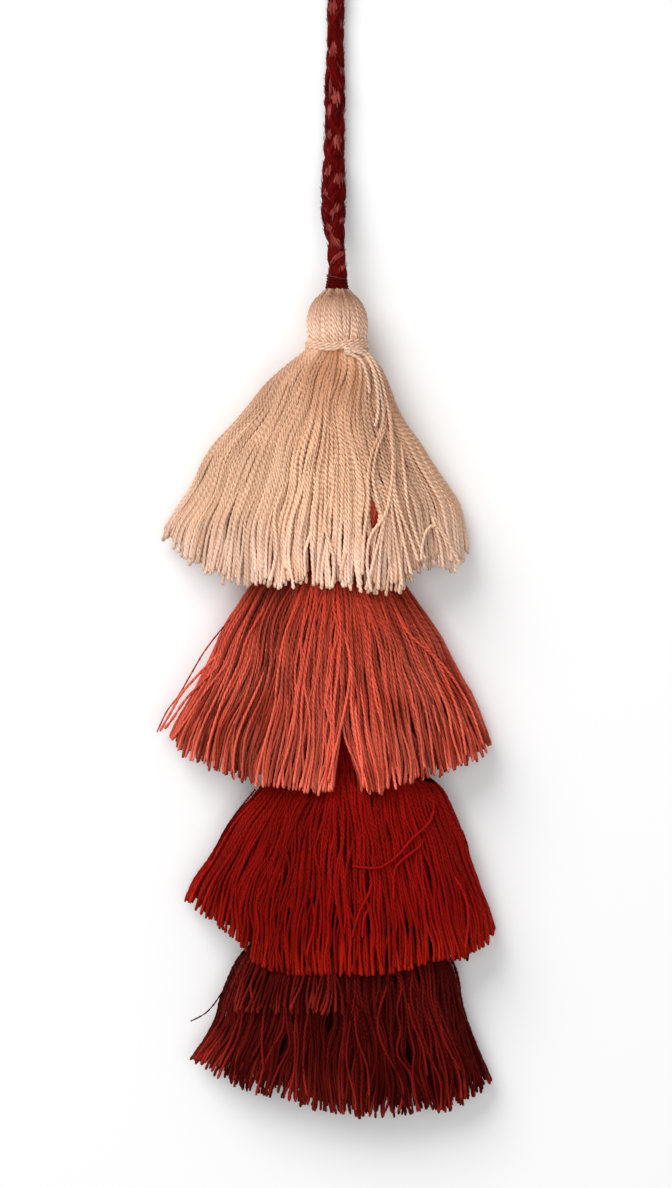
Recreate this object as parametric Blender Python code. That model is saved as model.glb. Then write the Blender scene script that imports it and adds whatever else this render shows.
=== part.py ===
"""A four-tier yarn tassel on a braided cord, lying on its back on a flat surface.

Frame: +X is to the right of the tassel seen from above, +Y runs from the hems towards the hanging loop,
and +Z is up from the surface at Z = 0. The origin is the middle of the footprint of the head and tiers.
All sizes below are in millimetres, and MM turns them into Blender's metres.
"""

import math
import random
from collections import namedtuple

import bmesh
import bpy
from mathutils import Vector

MM = 0.001
COLLECTION = "tassel zipper pull"
TINY = 0.001 * MM
SHARP_ANGLE = math.radians(50)

# Where the tassel lies
AXIS_X = 1.4
NECK_Y = 69.1
CORE_Z = 7.2
GAP = 0.3

# Head: a ball of folded yarn with a groove for the binding, as distance above the neck and radius
HEAD_PROFILE = (
    (11.9, 2.3),
    (11.0, 3.3),
    (9.9, 4.45),
    (8.3, 5.55),
    (6.4, 6.15),
    (4.4, 6.25),
    (2.7, 6.05),
    (2.1, 5.6),
    (0.2, 5.6),
)
HEAD_YARNS = 22
HEAD_RIB = 0.14

# Binding at the neck: three turns of yarn in the head's groove, with one free end
BINDING_TOP = 1.9
BINDING_TURN = 0.6
BINDING_TURNS = 3
BINDING_INNER = 5.9
BINDING_OUTER = 6.6
BINDING_VALLEY = 6.4
BINDING_SIDES = 28
TAIL_ANGLE = math.radians(58)
TAIL_WIDTH = 0.9
TAIL_LIFT = 1.3
TAIL_DROPS = (2.0, 5.0, 9.0, 14.0)

# Share of a wound turn of yarn before its crest
CREST_START = 0.3

# Whipping at the foot of the cord, which stands on top of the head
WHIPPING_FOOT = 12.2
WHIPPING_TURNS = 3
WHIPPING_TURN = 0.75
WHIPPING_RADIUS = 2.25
WHIPPING_VALLEY = 2.0
WHIPPING_SIDES = 16

# Braided cord: distance above the neck, offset to the right, height of its middle, width
Stretch = namedtuple("Stretch", "up side height width")
CORD_ROUTE = (
    Stretch(14.75, 0.2, 7.2, 3.9),
    Stretch(19.0, -0.1, 6.7, 3.5),
    Stretch(22.0, -0.2, 6.0, 3.5),
    Stretch(26.0, -0.7, 5.0, 4.5),
    Stretch(30.0, -0.7, 4.0, 5.0),
    Stretch(34.0, -0.7, 3.2, 4.9),
    Stretch(38.0, -0.6, 2.6, 4.3),
    Stretch(44.0, -0.5, 2.2, 4.1),
    Stretch(50.0, -0.4, 2.1, 4.1),
    Stretch(55.0, -0.4, 2.1, 4.0),
    Stretch(60.0, -0.3, 1.9, 3.5),
    Stretch(66.0, -0.3, 1.85, 3.4),
    Stretch(70.0, -0.2, 1.85, 3.5),
    Stretch(76.0, 0.0, 1.85, 3.6),
)
BRAID_PITCH = 9.0
BRAID_SIDES = 12
BRAID_STEP = BRAID_PITCH / 16
STRAND_SHARE = 0.5
WEAVE_SHARE = 0.05
VALLEY_SHARE = 0.78

# Hanging loop: the braid's own yarns folded over, as offset to the side and distance past the braid
LOOP_ROUTE = ((1.15, 0.0), (1.7, 3.5), (3.5, 7.5), (4.6, 12.0), (3.4, 16.2), (0.0, 18.0))
LOOP_RADIUS = 1.05
LOOP_LIFT = 0.05
LOOP_STEP = 1.5

# Tiers: a skirt of locks that hang from a bound core
# Each row is one section of the skirt: its drop below the core's rim, its reach to the left and right,
# and the heights of its top, of its widest line and of its underside.
Row = namedtuple("Row", "drop left right top waist under")
# A tier's root is its rim's distance below the neck, and the cuts are the lengths of its locks.
Tier = namedtuple("Tier", "name root radius cuts rows colour")
Cuts = namedtuple("Cuts", "left middle right under inner")

PEACH = (0.66, 0.37, 0.24)
CORAL = (0.37, 0.055, 0.032)
RED = (0.17, 0.006, 0.004)
MAROON = (0.065, 0.005, 0.004)
BURGUNDY = (0.13, 0.014, 0.012)
YARN_ROUGHNESS = 0.8

TIERS = (
    Tier(
        "tier_peach", 0.5, 6.1, Cuts(51.0, 47.0, 50.0, 43.5, 38.0),
        (
            Row(0.0, 6.1, 6.1, 13.3, 7.2, 1.1),
            Row(4.0, 11.6, 9.2, 14.4, 6.6, 0.5),
            Row(12.0, 18.8, 12.8, 16.0, 5.2, 0.0),
            Row(22.0, 27.0, 19.4, 17.2, 3.8, 0.0),
            Row(32.0, 32.4, 25.0, 17.0, 3.0, 0.0),
            Row(50.0, 39.5, 27.6, 15.1, 2.4, 0.0),
        ),
        PEACH,
    ),
    Tier(
        "tier_coral", 36.0, 5.0, Cuts(51.0, 51.6, 50.0, 47.0, 42.0),
        (
            Row(0.0, 5.0, 5.0, 12.2, 7.2, 2.2),
            Row(5.0, 11.2, 9.8, 12.5, 6.4, 2.2),
            Row(12.5, 18.6, 15.6, 13.0, 5.2, 2.1),
            Row(20.0, 24.2, 20.2, 15.7, 4.0, 0.0),
            Row(30.0, 31.0, 25.6, 17.1, 3.2, 0.0),
            Row(40.0, 36.0, 29.6, 16.7, 2.6, 0.0),
            Row(53.0, 39.0, 32.0, 15.2, 2.4, 0.0),
        ),
        CORAL,
    ),
    Tier(
        "tier_red", 77.0, 5.0, Cuts(44.0, 47.0, 51.0, 42.5, 31.0),
        (
            Row(0.0, 5.0, 5.0, 12.2, 7.2, 2.2),
            Row(5.0, 10.4, 12.8, 12.5, 6.4, 2.2),
            Row(12.0, 16.8, 21.2, 13.0, 5.2, 2.1),
            Row(20.0, 22.5, 24.7, 15.6, 4.0, 0.0),
            Row(30.0, 29.2, 28.6, 16.8, 3.2, 0.0),
            Row(38.0, 31.6, 31.4, 16.2, 2.6, 0.0),
            Row(50.0, 34.0, 34.0, 14.8, 2.4, 0.0),
        ),
        RED,
    ),
    Tier(
        "tier_maroon", 106.0, 5.0, Cuts(45.0, 47.0, 49.5, 43.0, 43.0),
        (
            Row(0.0, 5.0, 5.0, 12.2, 7.2, 2.2),
            Row(8.0, 13.2, 14.6, 12.6, 6.0, 2.2),
            Row(18.5, 20.8, 22.8, 13.0, 4.8, 2.1),
            Row(26.0, 25.2, 25.0, 14.6, 3.8, 0.0),
            Row(34.0, 28.6, 27.9, 14.4, 3.0, 0.0),
            Row(49.0, 32.0, 32.5, 10.6, 2.2, 0.0),
        ),
        MAROON,
    ),
)
OUTER_LOCKS = 44
INNER_LOCKS = 12
INNER_SHARE = 0.78
UNDER_CROWDING = 0.5
CORE_RINGS = ((0.0, 1.0), (1.9, 0.66), (3.1, 0.0))
CENTRE_RADIUS = 2.7
SHANK_RADIUS = 2.2
SHOULDER = 5.5
CORE_LIP = 0.4
FAN_LENGTH = 10.0
SETTLE_LENGTH = 8.0
UNDER_REACH = 0.9
LOCK_FILL = 0.8
WIDEST_LOCK = 2.5
LOCK_THICKNESS = (0.3, 0.42)
THICKEST_LOCK = 1.3
RAGGED = 0.9
LAST_STEP = 4.0
LOOK_AHEAD = 1.5
ROOT_INSET = 0.035


def at(side, up, height):
    """A point by its offset right of the tassel's axis, its distance above the neck, and its height."""
    return Vector((AXIS_X + side, NECK_Y + up, height)) * MM


def mix(a, b, share):
    return a + (b - a) * share


def ease(x):
    """0 below 0, 1 above 1, and a smooth step between them."""
    x = min(max(x, 0.0), 1.0)
    return x * x * (3 - 2 * x)


def between(a, b, c, d, t):
    """A value a share t of the way from b to c, on a smooth curve that also passes through a and d."""
    bend = 2 * a - 5 * b + 4 * c - d
    twist = 3 * b - a - 3 * c + d
    return 0.5 * (2 * b + (c - a) * t + bend * t**2 + twist * t**3)


def curve_through(points, step):
    """Points about one step apart on a smooth curve through the given ones, as plain tuples."""
    found = []
    for i in range(len(points) - 1):
        before = points[max(i - 1, 0)]
        start, end = points[i], points[i + 1]
        after = points[min(i + 2, len(points) - 1)]
        count = max(1, round(math.dist(start[:2], end[:2]) / step))
        for k in range(count):
            found.append(tuple(
                between(*four, k / count) for four in zip(before, start, end, after)
            ))
    found.append(tuple(points[-1]))
    return found


def material(name, colour):
    made = bpy.data.materials.new(name)
    made.use_nodes = True
    shader = made.node_tree.nodes["Principled BSDF"]
    shader.inputs["Base Color"].default_value = (*colour, 1.0)
    shader.inputs["Roughness"].default_value = YARN_ROUGHNESS
    shader.inputs["Metallic"].default_value = 0.0
    return made


def add_object(name, bm, colour):
    """Turns the bmesh into a named object of the part's collection."""
    mesh = bpy.data.meshes.new(name)
    bm.to_mesh(mesh)
    bm.free()
    mesh.shade_smooth()
    mesh.set_sharp_from_angle(angle=SHARP_ANGLE)
    made = bpy.data.objects.new(name, mesh)
    made.data.materials.append(material(name, colour))
    bpy.data.collections[COLLECTION].objects.link(made)
    return made


def turned(profile, sides):
    """A closed body turned about the tassel's axis. The profile is (distance above the neck, radius)."""
    bm = bmesh.new()
    verts = [bm.verts.new(at(0, up, CORE_Z - radius)) for up, radius in profile]
    edges = [bm.edges.new(pair) for pair in zip(verts, verts[1:])]
    bmesh.ops.spin(
        bm, geom=verts + edges, cent=at(0, 0, CORE_Z), axis=(0, 1, 0),
        angle=2 * math.pi, steps=sides, use_merge=True,
    )
    bmesh.ops.remove_doubles(bm, verts=bm.verts, dist=TINY)
    bmesh.ops.recalc_face_normals(bm, faces=bm.faces)
    return bm


def capped(profile):
    """The profile with a flat end at its top and at its foot."""
    return [(profile[0][0], 0.0), *profile, (profile[-1][0], 0.0)]


def turn_of(point):
    """How far round the core a point lies: 0 underneath, a quarter at the right, a half on top."""
    angle = math.atan2(point.z - CORE_Z * MM, point.x - AXIS_X * MM)
    return (angle / (2 * math.pi) + 0.25) % 1.0


# Head, binding and whipping


def rib(bm):
    """Presses every second vertex round the head in, so that its yarns stand up as ribs."""
    middle = at(0, 0, CORE_Z)
    for vert in bm.verts:
        out = Vector((vert.co.x - middle.x, 0, vert.co.z - middle.z))
        place = round(turn_of(vert.co) * 2 * HEAD_YARNS)
        if out.length > HEAD_PROFILE[0][1] * MM + TINY and place % 2:
            vert.co -= out.normalized() * HEAD_RIB * MM


def build_head():
    """The ball of yarn folded over the cord's end, above the neck."""
    bm = turned(capped(HEAD_PROFILE), 2 * HEAD_YARNS)
    rib(bm)
    add_object("head", bm, PEACH)


def wound(top, turn, turns, valley, crest):
    """The outer profile of yarn wound in turns, from the top down: a valley between each two crests."""
    return [
        (top - turn * (k + where), radius)
        for k in range(turns)
        for where, radius in ((0.0, valley), (CREST_START, crest), (1 - CREST_START, crest))
    ] + [(top - turn * turns, valley)]


def grow_lock(bm, face, sections):
    """Draws a face out into a lock of yarn that passes through the sections, each a list of corners."""
    corners = [vert.co.copy() for vert in face.verts]
    middle = face.calc_center_median()
    first = sections[0]
    shift = middle - sum(first, Vector()) / len(first)
    turns = range(len(first))
    best = min(turns, key=lambda k: sum(
        (first[(i + k) % len(first)] + shift - corner).length for i, corner in enumerate(corners)
    ))
    for section in sections:
        face = bmesh.ops.extrude_discrete_faces(bm, faces=[face])["faces"][0]
        places = [section[(i + best) % len(section)] for i in turns]
        moved = []
        for vert in face.verts:
            nearest = min(turns, key=lambda i: (corners[i] - vert.co).length)
            moved.append((vert, places[nearest]))
        for vert, place in moved:
            vert.co = place
        corners = places


def lock_section(middle, along, outward, width, thickness, flat_side_out):
    """The corners of a three-sided lock, turning from outward towards its side as its end is seen."""
    outward = (outward - along * outward.dot(along)).normalized()
    across = along.cross(outward)
    half = across * width / 2
    depth = outward * thickness / 2
    if flat_side_out:
        return [middle + depth + half, middle - depth, middle + depth - half]
    return [middle + depth, middle - depth + half, middle - depth - half]


def build_binding():
    """The yarn wound round the neck, and the end of it that was left to hang over the right shoulder."""
    outside = wound(BINDING_TOP, BINDING_TURN, BINDING_TURNS, BINDING_VALLEY, BINDING_OUTER)
    inside = [(outside[-1][0], BINDING_INNER), (outside[0][0], BINDING_INNER)]
    bm = turned([*outside, *inside, outside[0]], BINDING_SIDES)
    outward = Vector((math.cos(TAIL_ANGLE), 0, math.sin(TAIL_ANGLE)))
    last_crest = BINDING_TOP - (BINDING_TURNS - 0.5) * BINDING_TURN
    crest = at(0, last_crest, CORE_Z) + outward * BINDING_OUTER * MM
    root = min(bm.faces, key=lambda f: (f.calc_center_median() - crest).length)
    place = TAIL_ANGLE / (2 * math.pi) + 0.25
    hem_angle = hem_angles(TIERS[0])(place)
    middles = [
        shell_point(TIERS[0], place, hem_angle, drop) + outward * TAIL_LIFT * MM for drop in TAIL_DROPS
    ]
    sections = []
    for i, middle in enumerate(middles):
        ahead = (middles[min(i + 1, len(middles) - 1)] - middles[max(i - 1, 0)]).normalized()
        deep = (outward - ahead * outward.dot(ahead)).normalized() * TAIL_WIDTH / 2 * MM
        across = ahead.cross(deep)
        sections.append([
            middle + deep + across, middle - deep + across, middle - deep - across, middle + deep - across,
        ])
    grow_lock(bm, root, sections)
    add_object("neck_binding", bm, PEACH)


def build_whipping():
    """The yarn wound round the foot of the cord, close on top of the head."""
    top = WHIPPING_FOOT + WHIPPING_TURN * WHIPPING_TURNS
    outside = wound(top, WHIPPING_TURN, WHIPPING_TURNS, WHIPPING_VALLEY, WHIPPING_RADIUS)
    add_object("cord_whipping", turned(capped(outside), WHIPPING_SIDES), BURGUNDY)


# Braided cord and hanging loop


def braid_surface(angle, along):
    """The braid's outer radius, as a share of its half width, at an angle and a distance along it.

    Four strands cross each other, two turning each way. Each goes over one and under the next.
    """
    crest = 0.0
    turn = 2 * math.pi * along / BRAID_PITCH
    for way in (1, -1):
        for start in (0.0, math.pi):
            middle = 1 - STRAND_SHARE - WEAVE_SHARE + way * WEAVE_SHARE * math.cos(2 * turn)
            off = (angle - start - way * turn + math.pi) % (2 * math.pi) - math.pi
            rise = STRAND_SHARE**2 - (middle * off) ** 2
            if rise > 0:
                crest = max(crest, middle + math.sqrt(rise))
    return max(crest, VALLEY_SHARE)


def build_cord():
    """The braid, as rings that follow the cord's route and carry the relief of its strands."""
    route = curve_through(CORD_ROUTE, BRAID_STEP)
    bm = bmesh.new()
    before = None
    along = 0.0
    for i, (up, side, height, width) in enumerate(route):
        middle = at(side, up, height)
        last = Stretch(*route[max(i - 1, 0)])
        following = Stretch(*route[min(i + 1, len(route) - 1)])
        ahead = (
            at(following.side, following.up, following.height) - at(last.side, last.up, last.height)
        ).normalized()
        across = ahead.cross(Vector((0, 0, 1))).normalized()
        over = across.cross(ahead)
        ring = []
        for k in range(BRAID_SIDES):
            angle = 2 * math.pi * k / BRAID_SIDES
            reach = width / 2 * MM * braid_surface(angle - math.pi / 2, along)
            ring.append(bm.verts.new(middle + (across * math.cos(angle) + over * math.sin(angle)) * reach))
        edges = [bm.edges.new((ring[k - 1], ring[k])) for k in range(BRAID_SIDES)]
        if before:
            bmesh.ops.bridge_loops(bm, edges=edges + before)
        else:
            bm.faces.new(ring)
        before = edges
        if i + 1 < len(route):
            along += math.dist(route[i][:3], route[i + 1][:3])
    bm.faces.new(ring)
    bmesh.ops.recalc_face_normals(bm, faces=bm.faces)
    add_object("braided_cord", bm, BURGUNDY)


def build_loop():
    """A tube whose two ends stand against the end of the braid."""
    half = curve_through(LOOP_ROUTE, LOOP_STEP)
    whole = half + [(-side, up) for side, up in reversed(half[:-1])]
    start = CORD_ROUTE[-1].up + GAP
    data = bpy.data.curves.new("hanging_loop", "CURVE")
    data.dimensions = "3D"
    data.bevel_depth = LOOP_RADIUS * MM
    data.bevel_resolution = 2
    data.use_fill_caps = True
    spline = data.splines.new("POLY")
    spline.points.add(len(whole) - 1)
    for point, (side, up) in zip(spline.points, whole):
        point.co = (*at(side, start + up, LOOP_RADIUS + LOOP_LIFT), 1.0)
    made = bpy.data.objects.new("hanging_loop", data)
    made.data.materials.append(material("hanging_loop", BURGUNDY))
    bpy.data.collections[COLLECTION].objects.link(made)


# Tiers


def section(rows, drop):
    """The skirt's row at any drop, by straight steps between the table's rows."""
    for above, below in zip(rows, rows[1:]):
        if drop <= below.drop:
            break
    share = (drop - above.drop) / (below.drop - above.drop)
    return Row(*(mix(a, b, share) for a, b in zip(above, below)))


def hem_angles(tier):
    """The angle at the hem for each place round the core, so that locks stand evenly along the hem.

    The hem's line is walked from its lowest point, and its underside counts for less, so that more
    locks lie on the side that shows.
    """
    low = tier.rows[-2]
    reach = (low.left + low.right) / 2
    rise = low.top - low.waist
    fine = 720
    walked = [0.0]
    for k in range(fine):
        angle = 2 * math.pi * (k + 0.5) / fine - math.pi / 2
        upper = math.sin(angle) > 0
        step = math.hypot(reach * math.sin(angle), (rise if upper else 0.0) * math.cos(angle))
        walked.append(walked[-1] + step * (1.0 if upper else UNDER_CROWDING))

    def angle_at(turn):
        wanted = turn * walked[-1]
        k = next(i for i in range(fine) if walked[i + 1] >= wanted)
        share = (wanted - walked[k]) / (walked[k + 1] - walked[k])
        return 2 * math.pi * (k + share) / fine - math.pi / 2

    return angle_at


def shell_point(tier, turn, hem_angle, drop, share=1.0):
    """Where a lock is at a drop below the core's rim, from its place round the core and at the hem."""
    row = section(tier.rows, drop)
    root_angle = 2 * math.pi * turn - math.pi / 2
    angle = mix(root_angle, hem_angle, ease(drop / FAN_LENGTH))
    settled = ease(drop / SETTLE_LENGTH)
    side = (row.right if math.cos(angle) > 0 else row.left) * math.cos(angle)
    rise = math.sin(angle)
    if rise >= 0:
        height = row.waist + (row.top - row.waist) * rise
    else:
        height = row.waist - (row.waist - row.under) * mix(-rise, 1.0, settled)
        side *= mix(1.0, UNDER_REACH, settled)
    height = mix(row.waist, height, share)
    return at(side * share, -tier.root - drop, height)


def cut_length(cuts, hem_angle):
    """How long a lock is cut: its side of the tassel decides, and the underside is shorter."""
    outer = cuts.right if math.cos(hem_angle) > 0 else cuts.left
    middle = cuts.middle if math.sin(hem_angle) > 0 else cuts.under
    return mix(middle, outer, math.cos(hem_angle) ** 2)


def end_drop(tier, turn, hem_angle, length, share):
    """The drop at which a lock of this length ends."""
    step = 0.5
    drop = 0.0
    here = shell_point(tier, turn, hem_angle, 0.0, share)
    while length > 0 and drop < tier.rows[-1].drop - step:
        drop += step
        following = shell_point(tier, turn, hem_angle, drop, share)
        length -= (following - here).length / MM
        here = following
    return drop


def plan_locks(tier, turns, share, lengths):
    """For each lock, its middle points from root to tip: one for each row, and one for its tip."""
    angle_at = hem_angles(tier)
    plans = []
    for turn, length in zip(turns, lengths):
        hem_angle = angle_at(turn)
        last = end_drop(tier, turn, hem_angle, length, share)
        drops = [row.drop for row in tier.rows[1:-1] if row.drop < last - LAST_STEP] + [last]
        plans.append([(drop, shell_point(tier, turn, hem_angle, drop, share)) for drop in drops])
    return plans


def lock_sections(tier, turn, turns_apart, plan, share, angle_at):
    """The corners of one lock at each of its middle points."""
    hem_angle = angle_at(turn)
    underneath = math.sin(hem_angle) < 0
    sections = []
    for drop, middle in plan:
        behind = shell_point(tier, turn, hem_angle, max(drop - LOOK_AHEAD, 0.0), share)
        ahead = shell_point(tier, turn, hem_angle, min(drop + LOOK_AHEAD, tier.rows[-1].drop), share)
        along = (ahead - behind).normalized()
        beside = [
            shell_point(tier, (turn + way) % 1.0, angle_at((turn + way) % 1.0), drop, share)
            for way in (turns_apart, -turns_apart)
        ]
        across = beside[0] - beside[1]
        outward = Vector((0, 0, -1)) if underneath else across.cross(along).normalized()
        if not underneath and outward.dot(middle - at(0, -tier.root - drop, 0)) < 0:
            outward = -outward
        pitch = min((point - middle).length for point in beside) / MM
        width = min(LOCK_FILL * pitch, WIDEST_LOCK)
        thickness = min(LOCK_THICKNESS[0] + LOCK_THICKNESS[1] * width, THICKEST_LOCK)
        if underneath:
            along = Vector((along.x, along.y, 0)).normalized()
            middle = middle + Vector((0, 0, thickness / 2 * MM))
        sections.append(lock_section(middle, along, outward, width * MM, thickness * MM, underneath))
    return sections


def core_profile(tier, above):
    """The bound core: a shank up to the tier above, a shoulder, and the cone that carries the locks."""
    rim = -tier.root
    cone = [
        (rim - drop, max(tier.radius * share, CENTRE_RADIUS)) for drop, share in CORE_RINGS
    ]
    if above:
        shank_top = -above.root - CORE_RINGS[-1][0] - GAP
        top = [(shank_top, 0.0), (shank_top, SHANK_RADIUS), (rim + SHOULDER, SHANK_RADIUS)]
    else:
        top = [(rim + CORE_LIP, 0.0), (rim + CORE_LIP, tier.radius)]
    return [*top, *cone, (cone[-1][0], 0.0)]


def root_faces(bm, tier, ring, count, flat_side_out):
    """The triangles round one band of the core's cone that locks grow from, by their place round it."""
    upper = (NECK_Y - tier.root - CORE_RINGS[ring][0]) * MM
    lower = (NECK_Y - tier.root - CORE_RINGS[ring + 1][0]) * MM
    band = [
        f for f in bm.faces
        if len(f.verts) == 4 and all(lower - TINY < v.co.y < upper + TINY for v in f.verts)
    ]
    halves = bmesh.ops.triangulate(bm, faces=band)["faces"]
    found = {}
    for face in halves:
        on_rim = sum(vert.co.y > upper - TINY for vert in face.verts)
        middle = face.calc_center_median()
        place = min(range(count), key=lambda k: abs((k + 0.5) / count - turn_of(middle)))
        if (on_rim == 2) == flat_side_out(place):
            found[place] = face
    return found


def build_tier(tier, above, number):
    """One skirt: its bound core, a full ring of locks, and a short inner row under the top ones."""
    rng = random.Random(number)
    angle_at = hem_angles(tier)
    bm = turned(core_profile(tier, above), OUTER_LOCKS)
    apart = 1.0 / OUTER_LOCKS

    def lies_under(place):
        return math.sin(angle_at((place + 0.5) * apart)) < 0

    outer = root_faces(bm, tier, 0, OUTER_LOCKS, lies_under)
    inner = root_faces(bm, tier, 1, OUTER_LOCKS, lambda place: False)
    first = OUTER_LOCKS // 2 - INNER_LOCKS
    chosen = {place: inner[place] for place in range(first, first + 2 * INNER_LOCKS, 2)}
    growing = [(outer, 1.0, apart, None), (chosen, INNER_SHARE, 2 * apart, tier.cuts.inner)]
    for faces, share, turns_apart, cut in growing:
        bmesh.ops.inset_individual(bm, faces=list(faces.values()), thickness=ROOT_INSET * MM)
        places = sorted(faces)
        turns = [(place + 0.5) * apart for place in places]
        lengths = [
            (cut or cut_length(tier.cuts, angle_at(turn))) - RAGGED * rng.random() for turn in turns
        ]
        plans = plan_locks(tier, turns, share, lengths)
        for place, turn, plan in zip(places, turns, plans):
            grow_lock(bm, faces[place], lock_sections(tier, turn, turns_apart, plan, share, angle_at))
    add_object(tier.name, bm, tier.colour)


def main():
    for old in list(bpy.data.objects):
        bpy.data.objects.remove(old, do_unlink=True)
    bpy.context.scene.collection.children.link(bpy.data.collections.new(COLLECTION))
    build_head()
    build_binding()
    build_whipping()
    build_cord()
    build_loop()
    for number, (tier, above) in enumerate(zip(TIERS, (None, *TIERS))):
        build_tier(tier, above, number)


main()
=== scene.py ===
# %% [markdown]
# # A four-tier yarn tassel on a braided cord
#
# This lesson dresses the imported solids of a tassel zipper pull. It lies on its back on a white surface
# and the camera looks straight down. Everything here is yarn, so almost all of the work is one idea
# used many times: work out the line that a yarn follows, then sweep a twisted section along it.

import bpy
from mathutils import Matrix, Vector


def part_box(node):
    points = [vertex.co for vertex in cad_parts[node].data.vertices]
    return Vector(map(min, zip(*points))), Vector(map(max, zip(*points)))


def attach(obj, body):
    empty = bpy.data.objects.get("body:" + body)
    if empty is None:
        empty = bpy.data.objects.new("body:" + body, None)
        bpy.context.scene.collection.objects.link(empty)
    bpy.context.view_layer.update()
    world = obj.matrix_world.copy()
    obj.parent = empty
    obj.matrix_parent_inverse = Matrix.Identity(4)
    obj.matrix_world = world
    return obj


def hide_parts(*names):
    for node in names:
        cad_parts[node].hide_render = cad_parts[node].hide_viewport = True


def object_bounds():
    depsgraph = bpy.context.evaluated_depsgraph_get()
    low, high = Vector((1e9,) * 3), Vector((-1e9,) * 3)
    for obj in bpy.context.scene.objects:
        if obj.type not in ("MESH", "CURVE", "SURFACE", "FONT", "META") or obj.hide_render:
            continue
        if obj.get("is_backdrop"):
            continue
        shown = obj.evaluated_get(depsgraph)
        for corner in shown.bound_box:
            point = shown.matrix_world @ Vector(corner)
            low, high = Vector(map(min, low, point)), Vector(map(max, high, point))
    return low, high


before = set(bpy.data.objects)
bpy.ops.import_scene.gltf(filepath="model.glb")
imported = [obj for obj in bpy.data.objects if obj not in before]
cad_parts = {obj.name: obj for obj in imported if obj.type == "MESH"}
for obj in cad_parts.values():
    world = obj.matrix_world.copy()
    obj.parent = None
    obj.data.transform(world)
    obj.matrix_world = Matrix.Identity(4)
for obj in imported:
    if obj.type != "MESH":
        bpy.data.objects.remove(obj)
solid_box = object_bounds()
print("solids:", sorted(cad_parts))

# %% Tools and units
import math
from collections import namedtuple

import bpy
import numpy as np
from mathutils import Vector

MM = 0.001
UP = np.array([0.0, 0.0, 1.0])

# %% [markdown]
# ## Where the tassel lies
#
# All sizes below are in millimetres. They are measured from the neck, where the binding sits: side is
# to the right of the tassel's axis, up is towards the cord, drop is towards the hems, and height is
# above the surface. The head's solid tells where the axis and the neck are.

# %% Find the axis and the neck from the head's solid
HEAD_FOOT = 0.2
CORE_HEIGHT = 7.2

head_low, head_high = (np.array(corner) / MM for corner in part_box("head"))
axis_x = (head_low[0] + head_high[0]) / 2
neck_y = head_low[1] - HEAD_FOOT
print("axis at x", round(axis_x, 2), "neck at y", round(neck_y, 2))


def place(side, up, height):
    """Points in metres, from millimetres right of the axis, above the neck and above the surface."""
    side, up, height = np.broadcast_arrays(side, up, height)
    return np.stack([axis_x + side, neck_y + up, height], axis=-1) * MM


# %% [markdown]
# ## The camera
#
# The photograph shows the tassel from straight above, 0.2 mm to a pixel. A camera a metre up with a
# narrow angle keeps the hems from growing with their height, and the frame's middle is 48.8 mm below
# the neck.

# %% Put the camera above the tassel
PIXEL = 0.2
FRAME_WIDTH_PX = 672
FRAME_HEIGHT_PX = 1188
AXIS_PX = 337
NECK_PX = 350
CAMERA_HEIGHT = 1000.0
FOCUS_HEIGHT = 9.0
NEAREST_SEEN = 10.0

frame_height = FRAME_HEIGHT_PX * PIXEL
view_side = (FRAME_WIDTH_PX / 2 - AXIS_PX) * PIXEL
view_up = (NECK_PX - FRAME_HEIGHT_PX / 2) * PIXEL

camera_data = bpy.data.cameras.new("camera")
camera_data.sensor_fit = "VERTICAL"
camera_data.angle = 2 * math.atan(frame_height / 2 / (CAMERA_HEIGHT - FOCUS_HEIGHT))
camera_data.clip_start = NEAREST_SEEN * MM
camera = bpy.data.objects.new("camera", camera_data)
camera.location = place(view_side, view_up, CAMERA_HEIGHT)
bpy.context.collection.objects.link(camera)
bpy.context.scene.camera = camera
print("camera sees", round(frame_height, 1), "mm from top to bottom")

# %% [markdown]
# ## Sweeping a yarn
#
# A two-ply yarn is two thin strands turned round each other. Its section is a diamond with two far
# corners, and the section turns as it goes along, which gives the row of slanting beads that such yarn
# shows. Towards a cut end the twist opens, so there the diamond goes towards a plain square. A square
# section that doesn't turn is enough for yarns that are buried under others.

# %% The sections of a yarn
PLIES = 2
PLAIN_SECTION = np.full(4, 0.92)
UNTWISTED = 0.85
FLAT_SIDE_UP = 0.125
# From which share of a skirt's yarn its twist opens, to which share, and how much.
LOOSE_FROM = 0.5
LOOSE_TO = 0.9
LOOSENING = 0.55
# A cut end spreads and then closes: what the radius of its last three rings is multiplied by.
CUT_END = (1.08, 1.1, 0.7)


def ply_section(narrow):
    """The diamond section of a two-ply yarn, from its narrow half width as a share of the wide one."""
    return np.array([1.0, narrow, 1.0, narrow])


def round_section(sides):
    return np.ones(sides)


# %% Short helpers for numbers and for lines of points
def mix(a, b, share):
    return a + (b - a) * share


def ease(x):
    """0 below 0, 1 above 1, and a smooth step between them."""
    x = np.clip(x, 0, 1)
    return x * x * (3 - 2 * x)


def tangents(points):
    """The direction of a line of points at each of them."""
    ahead = np.gradient(points, axis=0)
    return ahead / np.linalg.norm(ahead, axis=1, keepdims=True)


def lengths_along(points):
    """The distance along a line of points, in the points' own unit."""
    steps = np.linalg.norm(np.diff(points, axis=0), axis=1)
    return np.concatenate([[0.0], np.cumsum(steps)])


def evenly(line, step):
    """The same line with its points the same distance apart, about one step in millimetres."""
    along = lengths_along(line) / MM
    at = np.linspace(0, along[-1], max(2, round(along[-1] / step) + 1))
    return np.stack([np.interp(at, along, line[:, axis]) for axis in range(3)], axis=-1)


# %% [markdown]
# A curve with a bevel would make a single yarn quickly. It can't say how far round the twist each face
# is, though, and thousands of separate objects would be slow. So the rings of every yarn are worked out
# as arrays, gathered in a basket, and made into one mesh for the whole piece. Each corner of a face
# keeps two numbers as its UV place: how far round the twist it is, and how far along the yarn. Each
# point keeps two more: its yarn's tone, and how far from the root it is. The material reads all four.

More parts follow.
